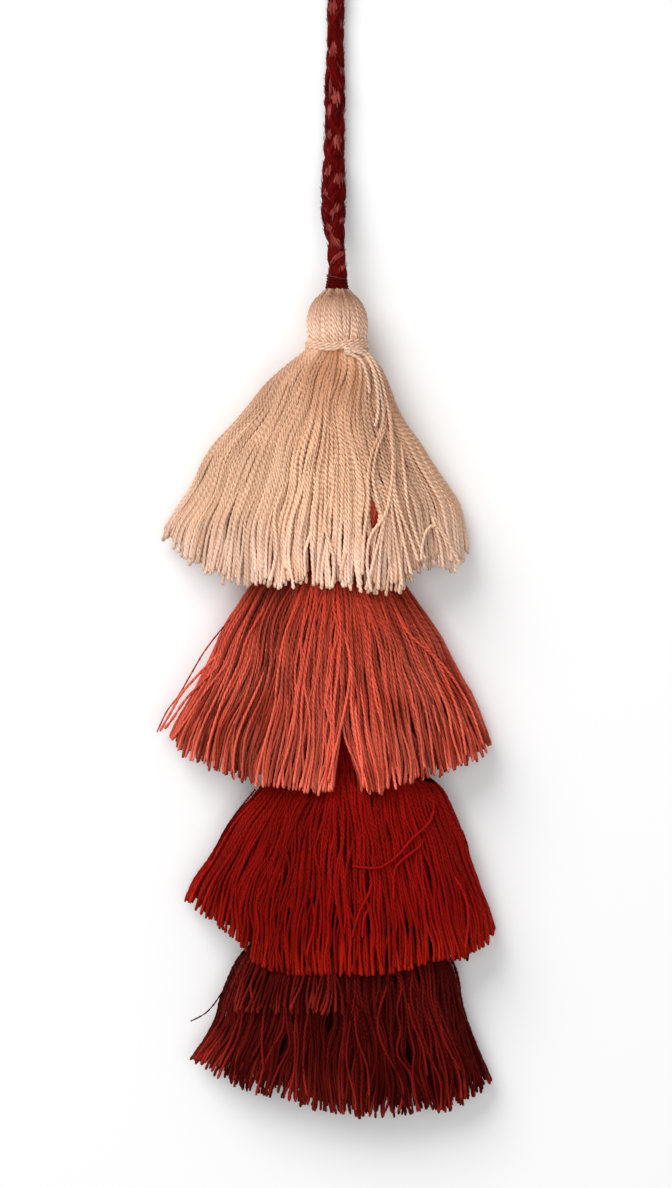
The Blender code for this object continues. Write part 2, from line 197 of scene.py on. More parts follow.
# %% A basket that gathers yarns and weaves them into one mesh
class Basket:
    """Gathers yarns, each swept along its own line, and turns them into one mesh object."""

    def __init__(self):
        self.points, self.quads, self.ends, self.twist, self.along = [], [], [], [], []
        self.tone, self.root, self.slots = [], [], []
        self.count = 0

    def add(
        self, line, radius, pitch, section, turning=True, tone=0.5, phase=0.0, facing=UP, slot=0,
        smooth_start=0.0, shares=None, loosen=0.0,
    ):
        """Sweeps a section along a line of points in metres; the radius and the pitch are in millimetres.

        The pitch is the length of one turn of the twist. The shares tell how far from the root each
        point is, from 0 to 1, and the smooth start is the length in which the twist grows clear.
        """
        n, sides = len(line), len(section)
        ahead = tangents(line)
        side = np.cross(ahead, facing)
        side /= np.linalg.norm(side, axis=1, keepdims=True)
        over = np.cross(side, ahead)
        along = lengths_along(line) / MM
        turn = along / pitch + phase
        corner = np.arange(sides) / sides
        angle = 2 * np.pi * (corner[None, :] + (turn[:, None] if turning else FLAT_SIDE_UP))
        shares = along / along[-1] if shares is None else np.broadcast_to(shares, n)
        loose = loosen * ease((shares - LOOSE_FROM) / (LOOSE_TO - LOOSE_FROM))
        shape = mix(np.broadcast_to(section, (n, sides)), UNTWISTED, loose[:, None])
        if smooth_start:
            shape = mix(UNTWISTED, shape, ease(along / smooth_start)[:, None])
        reach = shape * np.reshape(radius, (-1, 1)) * MM
        ring = (
            line[:, None, :]
            + side[:, None, :] * (np.cos(angle) * reach)[..., None]
            + over[:, None, :] * (np.sin(angle) * reach)[..., None]
        )
        step = np.arange(n - 1)[:, None]
        k = np.arange(sides)[None, :]
        first = self.count + step * sides
        after = (k + 1) % sides
        quads = np.stack([first + sides + k, first + sides + after, first + after, first + k], axis=-1)
        ring_at = np.stack([step + 1, step + 1, step, step], axis=-1) + 0 * quads
        corner_at = np.stack([k, k + 1, k + 1, k], axis=-1) + 0 * quads
        still = 0.0 if turning else 1.0
        cap = np.arange(sides)
        self.twist += [
            (PLIES * (corner_at / sides + still * turn[ring_at])).reshape(-1),
            np.tile(cap * PLIES / sides, 2),
        ]
        self.along += [along[ring_at].reshape(-1), np.repeat([0.0, along[-1]], sides)]
        self.quads.append(quads.reshape(-1, 4))
        self.ends.append(np.stack([self.count + cap, self.count + (n - 1) * sides + cap[::-1]]))
        self.points.append(ring.reshape(-1, 3))
        self.tone.append(np.full(n * sides, tone))
        self.root.append(np.repeat(shares, sides))
        self.slots.append(np.full((n - 1) * sides + 2, slot))
        self.count += n * sides

    def weave(self, name, materials):
        """Makes the mesh object of everything gathered so far."""
        loops, sizes = [], []
        for quads, ends in zip(self.quads, self.ends):
            loops += [quads.reshape(-1), ends.reshape(-1)]
            sizes += [np.full(len(quads), 4), np.full(2, ends.shape[1])]
        loops, sizes = np.concatenate(loops), np.concatenate(sizes)
        points = np.concatenate(self.points)
        mesh = bpy.data.meshes.new(name)
        mesh.vertices.add(len(points))
        mesh.vertices.foreach_set("co", points.reshape(-1))
        mesh.loops.add(len(loops))
        mesh.loops.foreach_set("vertex_index", loops)
        mesh.polygons.add(len(sizes))
        mesh.polygons.foreach_set("loop_start", np.cumsum(sizes) - sizes)
        mesh.polygons.foreach_set("material_index", np.concatenate(self.slots))
        mesh.update(calc_edges=True)
        places = mesh.uv_layers.new(name="yarn")
        pairs = np.stack([np.concatenate(self.twist), np.concatenate(self.along)], axis=-1)
        places.data.foreach_set("uv", pairs.reshape(-1))
        for key, values in (("tone", self.tone), ("root", self.root)):
            layer = mesh.attributes.new(key, "FLOAT", "POINT")
            layer.data.foreach_set("value", np.concatenate(values))
        mesh.shade_smooth()
        mesh.validate()
        for one in materials:
            mesh.materials.append(one)
        made = bpy.data.objects.new(name, mesh)
        bpy.context.collection.objects.link(made)
        print(name, len(self.quads), "yarns,", int((sizes - 2).sum()), "triangles")
        return made


# %% [markdown]
# ## The yarn's material
#
# Cotton yarn is matt with a weak soft sheen. Three things give it life: the groove between its plies has
# painted shade, fine fibres run along each ply, and no two yarns are quite the same tone. The groove's
# painted shade and the fibres come from the two UV numbers, so they follow every yarn however it bends.
# Each skirt is a little paler towards its hem: its darker root colour is painted shade where the binding
# or the tier above shades it. The cut tips are paler still, partly painted light on the hem and partly
# the cut ends' own colour. Where the twist opens towards a cut end, the groove's painted shade and its
# relief fade.

# %% Short helpers for shader nodes
def set_or_link(tree, socket, value):
    """Links an output to a socket, or sets a constant on it."""
    if isinstance(value, bpy.types.NodeSocket):
        tree.links.new(value, socket)
    else:
        socket.default_value = value


def calculate(tree, operation, *values):
    """A Math node; its output."""
    made = tree.nodes.new("ShaderNodeMath")
    made.operation = operation
    for socket, value in zip(made.inputs, values):
        set_or_link(tree, socket, value)
    return made.outputs[0]


def blended(tree, share, first, second):
    """A colour between two others."""
    made = tree.nodes.new("ShaderNodeMix")
    made.data_type = "RGBA"
    for index, value in ((0, share), (6, first), (7, second)):
        if isinstance(value, tuple):
            value = (*value, 1.0)
        set_or_link(tree, made.inputs[index], value)
    return made.outputs[2]


def ramp_share(tree, value, start, stop):
    """0 up to the start, 1 from the stop on, and a straight line between."""
    made = tree.nodes.new("ShaderNodeMapRange")
    set_or_link(tree, made.inputs["Value"], value)
    made.inputs["From Min"].default_value = start
    made.inputs["From Max"].default_value = stop
    return made.outputs[0]


def noise(tree, x, y, z, detail=2.0):
    """Smooth noise at a place given by three numbers."""
    place_at = tree.nodes.new("ShaderNodeCombineXYZ")
    for socket, value in zip(place_at.inputs, (x, y, z)):
        set_or_link(tree, socket, value)
    made = tree.nodes.new("ShaderNodeTexNoise")
    made.inputs["Scale"].default_value = 1.0
    made.inputs["Detail"].default_value = detail
    tree.links.new(place_at.outputs[0], made.inputs["Vector"])
    return made.outputs[0]


def read_attribute(tree, name):
    made = tree.nodes.new("ShaderNodeAttribute")
    made.attribute_name = name
    return made.outputs["Fac"]


# %% The colour along one yarn
PATCH_SIZE = 14.0
PATCH_BY_TONE = 0.3
PATCH_FROM = 0.45
PATCH_TO = 0.75

Dye = namedtuple("Dye", "root body patch tip groove groove_depth gloss sheen tone_range")


def dyed(tree, dye, tone, share, root_until, body_from, tip_from):
    """The colour by how far from the root it is, with soft patches of a second colour."""
    # A root colour darker than the body's is painted shade; a paler tip colour is partly painted light.
    body = blended(tree, ramp_share(tree, share, root_until, body_from), dye.root, dye.body)
    body = blended(tree, ramp_share(tree, share, tip_from, 1.0), body, dye.tip)
    patches = tree.nodes.new("ShaderNodeTexCoord")
    patch_noise = tree.nodes.new("ShaderNodeTexNoise")
    patch_noise.inputs["Scale"].default_value = 1 / (PATCH_SIZE * MM)
    patch_noise.inputs["Detail"].default_value = 1.0
    tree.links.new(patches.outputs["Object"], patch_noise.inputs["Vector"])
    patchy = calculate(tree, "MULTIPLY_ADD", tone, -PATCH_BY_TONE, patch_noise.outputs[0])
    in_patch = ramp_share(tree, patchy, PATCH_FROM - PATCH_BY_TONE / 2, PATCH_TO - PATCH_BY_TONE / 2)
    return blended(tree, in_patch, body, dye.patch)


# %% The light and dark of one yarn
FIBRES_ROUND = 5.0
FIBRES_ALONG = 1.4
FIBRE_SEED = 37.0
FIBRE_LEAST = 0.6
FIBRE_RANGE = 0.8
MOTTLE_ALONG = 0.16
MOTTLE_SEED = 91.0
MOTTLE_LEAST = 0.7
MOTTLE_RANGE = 0.6


def fibres(tree, twist, along, tone):
    """Fine streaks that follow the plies, different on each yarn."""
    return noise(
        tree, calculate(tree, "MULTIPLY", twist, FIBRES_ROUND),
        calculate(tree, "MULTIPLY", along, FIBRES_ALONG), calculate(tree, "MULTIPLY", tone, FIBRE_SEED),
    )


def lightness(tree, along, tone, streak, tone_range):
    """How light the yarn is: its own tone, a slow mottle along it, and the streaks."""
    mottle = noise(
        tree, calculate(tree, "MULTIPLY", tone, MOTTLE_SEED),
        calculate(tree, "MULTIPLY", along, MOTTLE_ALONG), 0.0,
    )
    light = calculate(tree, "MULTIPLY_ADD", tone, tone_range, 1.0 - tone_range / 2)
    mottled = calculate(tree, "MULTIPLY_ADD", mottle, MOTTLE_RANGE, MOTTLE_LEAST)
    streaked = calculate(tree, "MULTIPLY_ADD", streak, FIBRE_RANGE, FIBRE_LEAST)
    return calculate(tree, "MULTIPLY", calculate(tree, "MULTIPLY", light, mottled), streaked)


# %% A material for twisted yarn
SMOOTH_START = 5.0
BUMP = 0.5
BUMP_HEIGHT = 0.12
FIBRE_RELIEF = 0.5
ROUGHNESS = 0.62
SHEEN_OF_GLOSS = 0.2
SHEEN_ROUGHNESS = 0.4


def yarn_material(name, dye, root_until=0.05, body_from=0.55, tip_from=0.97, loosen=LOOSENING):
    """Twisted yarn of one dye. The three shares tell where along a yarn its colours change."""
    made = bpy.data.materials.new(name)
    made.use_nodes = True
    tree = made.node_tree
    shader = tree.nodes["Principled BSDF"]
    places = tree.nodes.new("ShaderNodeUVMap")
    places.uv_map = "yarn"
    split = tree.nodes.new("ShaderNodeSeparateXYZ")
    tree.links.new(places.outputs[0], split.inputs[0])
    twist, along = split.outputs[0], split.outputs[1]
    tone = read_attribute(tree, "tone")
    share = read_attribute(tree, "root")

    wave = calculate(tree, "COSINE", calculate(tree, "MULTIPLY", twist, 2 * math.pi))
    crest = calculate(tree, "MULTIPLY_ADD", wave, 0.5, 0.5)
    hollow = calculate(tree, "SUBTRACT", 1.0, crest)
    body = dyed(tree, dye, tone, share, root_until, body_from, tip_from)
    twisted = ramp_share(tree, along, 0.0, SMOOTH_START)
    opening = ramp_share(tree, share, LOOSE_FROM, LOOSE_TO)
    loosened = calculate(tree, "MULTIPLY_ADD", opening, -loosen, 1.0)
    twisted = calculate(tree, "MULTIPLY", twisted, loosened)
    # Painted shade: the base colour darkens in the hollow between the plies, less where the twist opens.
    depth = calculate(tree, "MULTIPLY", calculate(tree, "MULTIPLY", hollow, dye.groove_depth), twisted)
    coloured = blended(tree, depth, body, dye.groove)

    streak = fibres(tree, twist, along, tone)
    lit = tree.nodes.new("ShaderNodeHueSaturation")
    tree.links.new(coloured, lit.inputs["Color"])
    tree.links.new(lightness(tree, along, tone, streak, dye.tone_range), lit.inputs["Value"])
    tree.links.new(lit.outputs[0], shader.inputs["Base Color"])

    bumped = tree.nodes.new("ShaderNodeBump")
    bumped.inputs["Strength"].default_value = BUMP
    bumped.inputs["Distance"].default_value = BUMP_HEIGHT * MM
    plies = calculate(tree, "MULTIPLY", crest, loosened)
    relief = calculate(tree, "MULTIPLY_ADD", streak, FIBRE_RELIEF, plies)
    tree.links.new(relief, bumped.inputs["Height"])
    tree.links.new(bumped.outputs[0], shader.inputs["Normal"])
    shader.inputs["Roughness"].default_value = ROUGHNESS
    shader.inputs["Specular IOR Level"].default_value = dye.gloss
    shader.inputs["Specular Tint"].default_value = (*dye.sheen, 1.0)
    shader.inputs["Sheen Weight"].default_value = dye.gloss * SHEEN_OF_GLOSS
    shader.inputs["Sheen Roughness"].default_value = SHEEN_ROUGHNESS
    shader.inputs["Sheen Tint"].default_value = (*dye.sheen, 1.0)
    return made


# %% [markdown]
# ## The dyes
#
# The tiers go from peach through coral and red to maroon, and the cord is burgundy with a rose yarn.
# One material for each could be built by hand, but they differ only in their numbers, so one function
# makes them all. A dye holds the colours at the root, along the body, in patches, at
# the tip and in the groove between the plies. A root colour darker than the body's is painted shade,
# the groove's colour is painted shade between the plies, and a paler tip is partly painted light on the
# hem and partly the cut ends' own colour. The three shares of a material tell where along a yarn the
# root's colour ends, where the body's is full, and where the tip's starts.

# %% Mix the yarn colours
# Darker root colours are painted shade, groove colours painted shade, and paler tips partly painted light.
PEACH = Dye(
    root=(0.35, 0.12, 0.042), body=(0.87, 0.58, 0.395), patch=(0.82, 0.51, 0.34), tip=(0.88, 0.635, 0.51),
    groove=(0.44, 0.20, 0.105), groove_depth=0.85, gloss=0.30, sheen=(1.0, 0.86, 0.76), tone_range=0.28,
)
# The head's dye is a lit and shaded copy of the peach: its paler body is painted light on the ball, and its
# dark root colour is painted shade on the crown, which slopes away from the light.
HEAD_PEACH_LIT_SHADED = PEACH._replace(
    root=(0.21, 0.088, 0.046), body=(1.0, 0.71, 0.53), patch=(0.97, 0.65, 0.48), groove_depth=0.75,
    tone_range=0.2,
)
CORAL = Dye(
    root=(0.39, 0.031, 0.012), body=(0.66, 0.111, 0.066), patch=(0.50, 0.052, 0.025),
    tip=(0.82, 0.175, 0.112), groove=(0.28, 0.019, 0.009), groove_depth=0.7, gloss=0.20,
    sheen=(1.0, 0.45, 0.36), tone_range=1.0,
)
RED = Dye(
    root=(0.225, 0.0034, 0.0024), body=(0.25, 0.0040, 0.0029), patch=(0.32, 0.0070, 0.0028),
    tip=(0.35, 0.0115, 0.0034), groove=(0.12, 0.0020, 0.0013), groove_depth=0.6, gloss=0.10,
    sheen=(1.0, 0.22, 0.18), tone_range=0.7,
)
MAROON = Dye(
    root=(0.145, 0.0054, 0.0041), body=(0.125, 0.0046, 0.0038), patch=(0.094, 0.0026, 0.0023),
    tip=(0.28, 0.018, 0.011), groove=(0.045, 0.0016, 0.0012), groove_depth=0.7, gloss=0.10,
    sheen=(1.0, 0.30, 0.22), tone_range=1.0,
)
BURGUNDY = Dye(
    root=(0.095, 0.0026, 0.0025), body=(0.095, 0.0026, 0.0025), patch=(0.14, 0.0052, 0.0038),
    tip=(0.095, 0.0026, 0.0025), groove=(0.05, 0.0015, 0.0015), groove_depth=0.4, gloss=0.04,
    sheen=(1.0, 0.25, 0.2), tone_range=0.7,
)
ROSE = Dye(
    root=(0.27, 0.048, 0.040), body=(0.27, 0.048, 0.040), patch=(0.21, 0.030, 0.026),
    tip=(0.20, 0.020, 0.018), groove=(0.16, 0.014, 0.012), groove_depth=0.3, gloss=0.06,
    sheen=(1.0, 0.6, 0.5), tone_range=0.8,
)
# The shares set how far each yarn's painted shade reaches from the root and where its paler tip starts.
peach_yarn = yarn_material("peach_yarn", PEACH, root_until=0.02, tip_from=0.70)
head_yarn_lit_shaded = yarn_material("head_yarn_lit_shaded", HEAD_PEACH_LIT_SHADED, root_until=0.2, body_from=0.66, loosen=0.0)
coral_yarn = yarn_material("coral_yarn", CORAL, root_until=0.25, body_from=0.65, tip_from=0.93)
red_yarn = yarn_material("red_yarn", RED, tip_from=0.84)
maroon_yarn = yarn_material("maroon_yarn", MAROON, tip_from=0.82)
burgundy_yarn = yarn_material("burgundy_yarn", BURGUNDY, loosen=0.0)
rose_yarn = yarn_material("rose_yarn", ROSE, loosen=0.0)
print("materials:", [one.name for one in bpy.data.materials])

# %% [markdown]
# ## The braided cord
#
# The cord is a round braid of four thick dark strands, two turning each way, and each goes over one and
# under the next. The cord leaves the head, sinks to the surface and lies along it. A plain tube with a
# bumpy material would be quicker, but the strands make the braid's outline, so each is built, from
# seven threads that lie round its middle and turn slowly.

# %% The cord's route, which repeats the solid's: above the neck, side, height, width
CORD_ROUTE = (
    (14.75, 0.2, 7.2, 3.9),
    (19.0, -0.1, 6.7, 3.5),
    (22.0, -0.2, 6.0, 3.5),
    (26.0, -0.7, 5.0, 4.5),
    (30.0, -0.7, 4.0, 5.0),
    (34.0, -0.7, 3.2, 4.9),
    (38.0, -0.6, 2.6, 4.3),
    (44.0, -0.5, 2.2, 4.1),
    (50.0, -0.4, 2.1, 4.1),
    (55.0, -0.4, 2.1, 4.0),
    (60.0, -0.3, 1.9, 3.5),
    (66.0, -0.3, 1.85, 3.4),
    (70.0, -0.2, 1.85, 3.5),
    (76.0, 0.0, 1.85, 3.6),
)
STRANDS_EACH_WAY = 2
BRAID_TURN = 18.0
BRAID_STEP = 0.35
WEAVE_DEPTH = 0.07
STRAND_RADIUS = 0.60
THREADS_IN_STRAND = 7
THREAD_SHARE = 0.42
THREAD_TURN = 26.0
THREAD_UNEVEN = 0.6
THREAD_SWELL = 0.07
SWELL_EVERY = 1.7
ANY_START = 6.3
STRAND_PITCH = 9.0
PLAIN_PITCH = 4.0
CORD_SEED = 5


def smooth_route(rows, step):
    """Rows about one step apart on a smooth curve through the given rows."""
    rows = np.array(rows)
    found = []
    for i in range(len(rows) - 1):
        a, b, c, d = (rows[min(max(j, 0), len(rows) - 1)] for j in (i - 1, i, i + 1, i + 2))
        count = max(1, round(math.dist(b[:3], c[:3]) / step))
        for t in np.arange(count) / count:
            bend = 2 * a - 5 * b + 4 * c - d
            twist = 3 * b - a - 3 * c + d
            found.append(0.5 * (2 * b + (c - a) * t + bend * t**2 + twist * t**3))
    found.append(rows[-1])
    return np.array(found)


def around(line, angle, reach):
    """Points round a line, at an angle from its right side and a distance in millimetres."""
    ahead = tangents(line)
    side = np.cross(ahead, UP)
    side /= np.linalg.norm(side, axis=1, keepdims=True)
    over = np.cross(side, ahead)
    return line + (side * np.cos(angle)[:, None] + over * np.sin(angle)[:, None]) * reach[:, None] * MM


# %% Braid the cord
rows = smooth_route(CORD_ROUTE, BRAID_STEP)
cord_line = place(rows[:, 1], rows[:, 0], rows[:, 2])
cord_along = lengths_along(cord_line) / MM
half_width = rows[:, 3] / 2
braid = Basket()
rng = np.random.default_rng(CORD_SEED)
for way in (1, -1):
    for strand in range(STRANDS_EACH_WAY):
        turn = 2 * np.pi * cord_along / BRAID_TURN
        angle = way * turn + np.pi * strand + (0.0 if way > 0 else np.pi / 2)
        over_under = way * np.cos(2 * turn)
        thick = half_width * STRAND_RADIUS
        middle = (half_width - thick) * (1 + 2 * WEAVE_DEPTH * over_under)
        strand_line = around(cord_line, angle, middle)
        for thread in range(THREADS_IN_STRAND):
            turns = thread / THREADS_IN_STRAND + cord_along / THREAD_TURN * way
            spin = 2 * np.pi * turns + rng.uniform(0, THREAD_UNEVEN)
            wave = np.sin(cord_along / SWELL_EVERY + rng.uniform(0, ANY_START))
            swell = thick * THREAD_SHARE * (1 + THREAD_SWELL * wave)
            braid.add(
                around(strand_line, spin, thick * (1 - THREAD_SHARE)), swell, STRAND_PITCH,
                round_section(6), turning=False, tone=rng.uniform(), phase=rng.uniform(),
            )
print("the cord is", round(float(cord_along[-1]), 1), "mm long")

# %% [markdown]
# A rose yarn runs among the dark strands and comes up to the surface as small drops, one in the middle
# about every 9 mm and some at the edges between. Braiding it in would put the drops where the braid's
# own rhythm has them. So each drop is laid one by one instead, as eight short threads side by side that
# dip under at both ends.

# %% Bring the rose yarn up to the surface
# Each drop: above the neck, to the side, half its length, its half width, and how far it leans to the
# right on its way down.
ROSE_DROPS = (
    (69.4, -0.9, 1.9, 0.75, 0.1), (65.8, 0.9, 1.3, 0.35, 0.2), (60.6, -0.8, 1.9, 0.75, 0.1),
    (56.4, 1.0, 1.3, 0.40, 0.3), (53.4, -1.3, 2.6, 0.28, 0.0), (51.0, -0.2, 2.0, 0.80, 0.15),
    (48.2, -1.7, 2.0, 0.45, -0.1), (43.6, -1.5, 1.5, 0.35, 0.1), (42.2, 0.0, 2.0, 0.80, 0.1),
    (36.2, -1.8, 1.6, 0.55, -0.2), (34.4, 0.4, 1.9, 0.85, 0.1), (31.6, -2.3, 1.0, 0.40, 0.1),
    (28.2, -0.4, 1.7, 0.60, -0.3), (26.2, 1.0, 1.1, 0.45, 0.0), (24.6, -1.6, 1.1, 0.50, 0.2),
    (21.8, -0.3, 1.7, 0.75, 0.6), (18.8, 0.2, 1.5, 0.65, -0.8), (16.6, 1.2, 0.9, 0.50, 0.1),
    (74.0, 0.6, 1.8, 0.70, 0.1),
)
THREADS_IN_DROP = 8
DROP_STEPS = 9
DROP_ROUNDNESS = 1.15
SHORTEST_HALF = 0.1
THREAD_LENGTHS = (0.45, 1.0)
DROP_SLANT = 0.15
THREAD_SHIFT = 0.2
LEAN_UNEVEN = 0.06
EDGE_SHARE = 0.97
THREAD_THICKNESS = (0.16, 0.26)
THREAD_TIP = 0.15
DROP_SUNK = 0.05
ENDS_SUNK = 0.25

for up, side, half_length, half_wide, lean in ROSE_DROPS:
    for spot in np.linspace(-1, 1, THREADS_IN_DROP):
        share = np.linspace(-1, 1, DROP_STEPS)
        own_half = half_length * (math.sqrt(DROP_ROUNDNESS - spot**2) + SHORTEST_HALF)
        own_half = own_half * rng.uniform(*THREAD_LENGTHS)
        shift = DROP_SLANT * spot + rng.uniform(-THREAD_SHIFT, THREAD_SHIFT)
        along_cord = share * own_half + half_length * shift
        at_up = up + along_cord
        middle_side, middle_height, width = (
            np.interp(at_up, rows[:, 0], rows[:, column]) for column in (1, 2, 3)
        )
        own_lean = lean + rng.normal(0, LEAN_UNEVEN)
        across = side - np.interp(up, rows[:, 0], rows[:, 1]) - own_lean * along_cord
        across = np.clip(across + spot * half_wide, -width / 2 * EDGE_SHARE, width / 2 * EDGE_SHARE)
        skin = np.sqrt((width / 2) ** 2 - across**2)
        thick = half_wide * rng.uniform(*THREAD_THICKNESS) * (THREAD_TIP + np.sqrt(1 - share**2))
        line = place(middle_side + across, at_up, middle_height + skin - DROP_SUNK - ENDS_SUNK * share**2)
        braid.add(line, thick, PLAIN_PITCH, round_section(5), turning=False, tone=rng.uniform(), slot=1)
print(len(ROSE_DROPS), "rose drops")

# %% [markdown]
# The cord's yarn is a little fuzzy, which softens its outline. A hair system would be lost when the
# meshes are exported, so each hair is one more thin thread: it starts in the braid and ends just
# outside.

# %% Raise a little fluff on the cord
FLUFF_HAIRS = 900
HAIR_POINTS = 4
HAIR_RADIUS = 0.05
HAIR_CURL = 0.1
HAIR_ROOT = 0.92
HAIR_TIPS = (0.98, 1.16)
BARE_ENDS = 2
ROSE_HAIRS = 0.12

for _ in range(FLUFF_HAIRS):
    at = rng.integers(BARE_ENDS, len(cord_line) - HAIR_POINTS - BARE_ENDS)
    piece = slice(at, at + HAIR_POINTS)
    angle = rng.uniform(0, 2 * np.pi) + rng.normal(0, HAIR_CURL) * np.arange(HAIR_POINTS)
    reach = half_width[piece] * np.linspace(HAIR_ROOT, rng.uniform(*HAIR_TIPS), HAIR_POINTS)
    hair = around(cord_line[piece], angle, reach)
    hair[:, 2] = np.maximum(hair[:, 2], HAIR_RADIUS * MM)
    braid.add(
        hair, HAIR_RADIUS, PLAIN_PITCH, round_section(4), turning=False,
        tone=rng.uniform(), slot=int(rng.uniform() < ROSE_HAIRS),
    )
cord_piece = braid.weave("braided_cord_yarns", [burgundy_yarn, rose_yarn])
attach(cord_piece, "root")
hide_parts("braided_cord")

# %% [markdown]
# ## The hanging loop
#
# Past the photograph's edge the braid ends in a small loop, which a zipper's tab or a ring goes through.
# It is the braid's own yarn, two dark strands and a rose one, turned into a rope and folded over. Only
# the right half is drawn and then mirrored. Both ends reach a little way into the braid.

# %% Twist the loop's rope
LOOP_ROUTE = ((1.15, 0.0), (1.7, 3.5), (3.5, 7.5), (4.6, 12.0), (3.4, 16.2), (0.0, 18.0))
LOOP_GAP = 0.3
LOOP_HEIGHT = 1.1
LOOP_REACH = 0.5
LOOP_YARN = 0.56
LOOP_TURN = 5.0
LOOP_STRANDS = 3
TUCKED_IN = 2.5
TUCKED_SIDE = 0.75
TUCK_SPREAD = 0.4
TUCK_STEPS = 7

half = smooth_route([(side, up, 0.0, 0.0) for side, up in LOOP_ROUTE], BRAID_STEP)[:, :2]
start = CORD_ROUTE[-1][0] + LOOP_GAP
whole = np.concatenate([half, (half * [-1, 1])[-2::-1]])
tuck = np.linspace(TUCKED_IN, 0, TUCK_STEPS, endpoint=False)
tuck_side = TUCKED_SIDE + TUCK_SPREAD * (1 - tuck / TUCKED_IN)
whole = np.concatenate([
    np.stack([tuck_side, -tuck], axis=-1), whole, np.stack([-tuck_side, -tuck], axis=-1)[::-1],
])
loop_line = place(whole[:, 0], start + whole[:, 1], LOOP_HEIGHT)
loop_along = lengths_along(loop_line) / MM
loop = Basket()
for strand in range(LOOP_STRANDS):
    angle = 2 * np.pi * (strand / LOOP_STRANDS + loop_along / LOOP_TURN)
    loop.add(
        around(loop_line, angle, np.full(len(whole), LOOP_REACH)), LOOP_YARN, PLAIN_PITCH,
        round_section(8), turning=False, tone=rng.uniform(), slot=int(strand == 0),
    )
loop_piece = loop.weave("hanging_loop_rope", [burgundy_yarn, rose_yarn])
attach(loop_piece, "root")
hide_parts("hanging_loop")

# %% [markdown]
# ## The whipping at the cord's foot
#
# Dark yarn is wound a few times round the cord where it enters the head, and a thin rose yarn half
# round its top. Stacked rings would look the same from afar, but a helix gives the real turns with their
# slope, and the neck's binding needs it too. A short dark plug fills the middle, so that no light comes
# through between the turns.

# %% Lines wound round the tassel's axis
def helix(low, high, turns, reach, start_angle=0.0, steps_a_turn=28):
    """A line round the axis at the core's height, from one place above the neck to another."""
    share = np.linspace(0, 1, int(turns * steps_a_turn))
    angle = start_angle + 2 * np.pi * turns * share
    reach = np.interp(share, np.linspace(0, 1, np.size(reach)), np.reshape(reach, -1))
    return place(np.cos(angle) * reach, low + (high - low) * share, CORE_HEIGHT + np.sin(angle) * reach)


def outward_from_axis(line):
    """The direction away from the tassel's axis at each point of a line."""
    out = line - place(0, 0, CORE_HEIGHT)
    out[:, 1] = 0
    return out / np.linalg.norm(out, axis=1, keepdims=True)


# %% Wind the whipping
TWIST_PITCH = 2.1
WHIPPING_FOOT = 12.3
WHIPPING_TOP = 15.0
WHIPPING_TURNS = 4.6
WHIPPING_REACHES = (2.15, 1.9, 1.75)
WHIPPING_YARN = 0.36
WHIPPING_NARROW = 0.75
WHIPPING_STEP = 0.4
PLUG_BELOW = 0.6
PLUG_ABOVE = 0.4
PLUG_RADII = (1.9, 1.6)
PLUG_POINTS = 5
ROSE_BELOW = 1.0
ROSE_ABOVE = 0.2
ROSE_TURNS = 0.5
ROSE_REACH = 2.0
ROSE_START = 0.2
ROSE_YARN = 0.18
ROSE_NARROW = 0.8

whipping = Basket()
plug_up = np.linspace(WHIPPING_FOOT - PLUG_BELOW, WHIPPING_TOP + PLUG_ABOVE, PLUG_POINTS)
whipping.add(
    place(0, plug_up, CORE_HEIGHT), np.linspace(*PLUG_RADII, PLUG_POINTS), PLAIN_PITCH, round_section(10),
    turning=False, tone=0.0,
)
line = evenly(helix(WHIPPING_FOOT, WHIPPING_TOP, WHIPPING_TURNS, WHIPPING_REACHES), WHIPPING_STEP)
whipping.add(
    line, WHIPPING_YARN, TWIST_PITCH, ply_section(WHIPPING_NARROW), tone=0.0,
    facing=outward_from_axis(line),
)
line = helix(WHIPPING_TOP - ROSE_BELOW, WHIPPING_TOP + ROSE_ABOVE, ROSE_TURNS, ROSE_REACH, ROSE_START)
whipping.add(
    line, ROSE_YARN, TWIST_PITCH, ply_section(ROSE_NARROW), tone=0.0,
    facing=outward_from_axis(line), slot=1,
)
whipping_piece = whipping.weave("cord_whipping_yarn", [burgundy_yarn, rose_yarn])
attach(whipping_piece, "root")
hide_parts("cord_whipping")

# %% [markdown]
# ## The head
#
# The head is yarn laid over the cord's end and folded down, so its yarns run from the top to the neck
# like lines of longitude. Each follows one profile, turned to its own angle. At the crown there is room
# for only half of them, so every second one sinks there. A layer of plain yarns underneath keeps the
# light from shining through, as the many yarns inside a real head do.

# %% Lay the head's yarns
HEAD_PROFILE = (
    (12.7, 1.5), (11.9, 2.4), (11.0, 3.3), (9.9, 4.4), (8.3, 5.35), (6.4, 5.85), (4.4, 5.9), (2.7, 5.7),
    (1.9, 5.45), (0.8, 5.2), (-1.0, 5.3),
)
HEAD_YARNS = 76
HEAD_YARN = 0.37
HEAD_NARROW = 0.74
HEAD_RINGS_A_TURN = 6
HEAD_UNEVEN = 0.2
HEAD_SWAY = 0.04
HEAD_WAVES = (0.5, 1.0)
HEAD_DEPTHS = (0, 0.16)
CROWN_DEPTH = 0.4
HEAD_UNDER_YARNS = 40
HEAD_UNDER_YARN = 0.5
HEAD_UNDER_DEPTH = 0.35
HEAD_UNDER_EVERY = 3
HEAD_SEED = 11

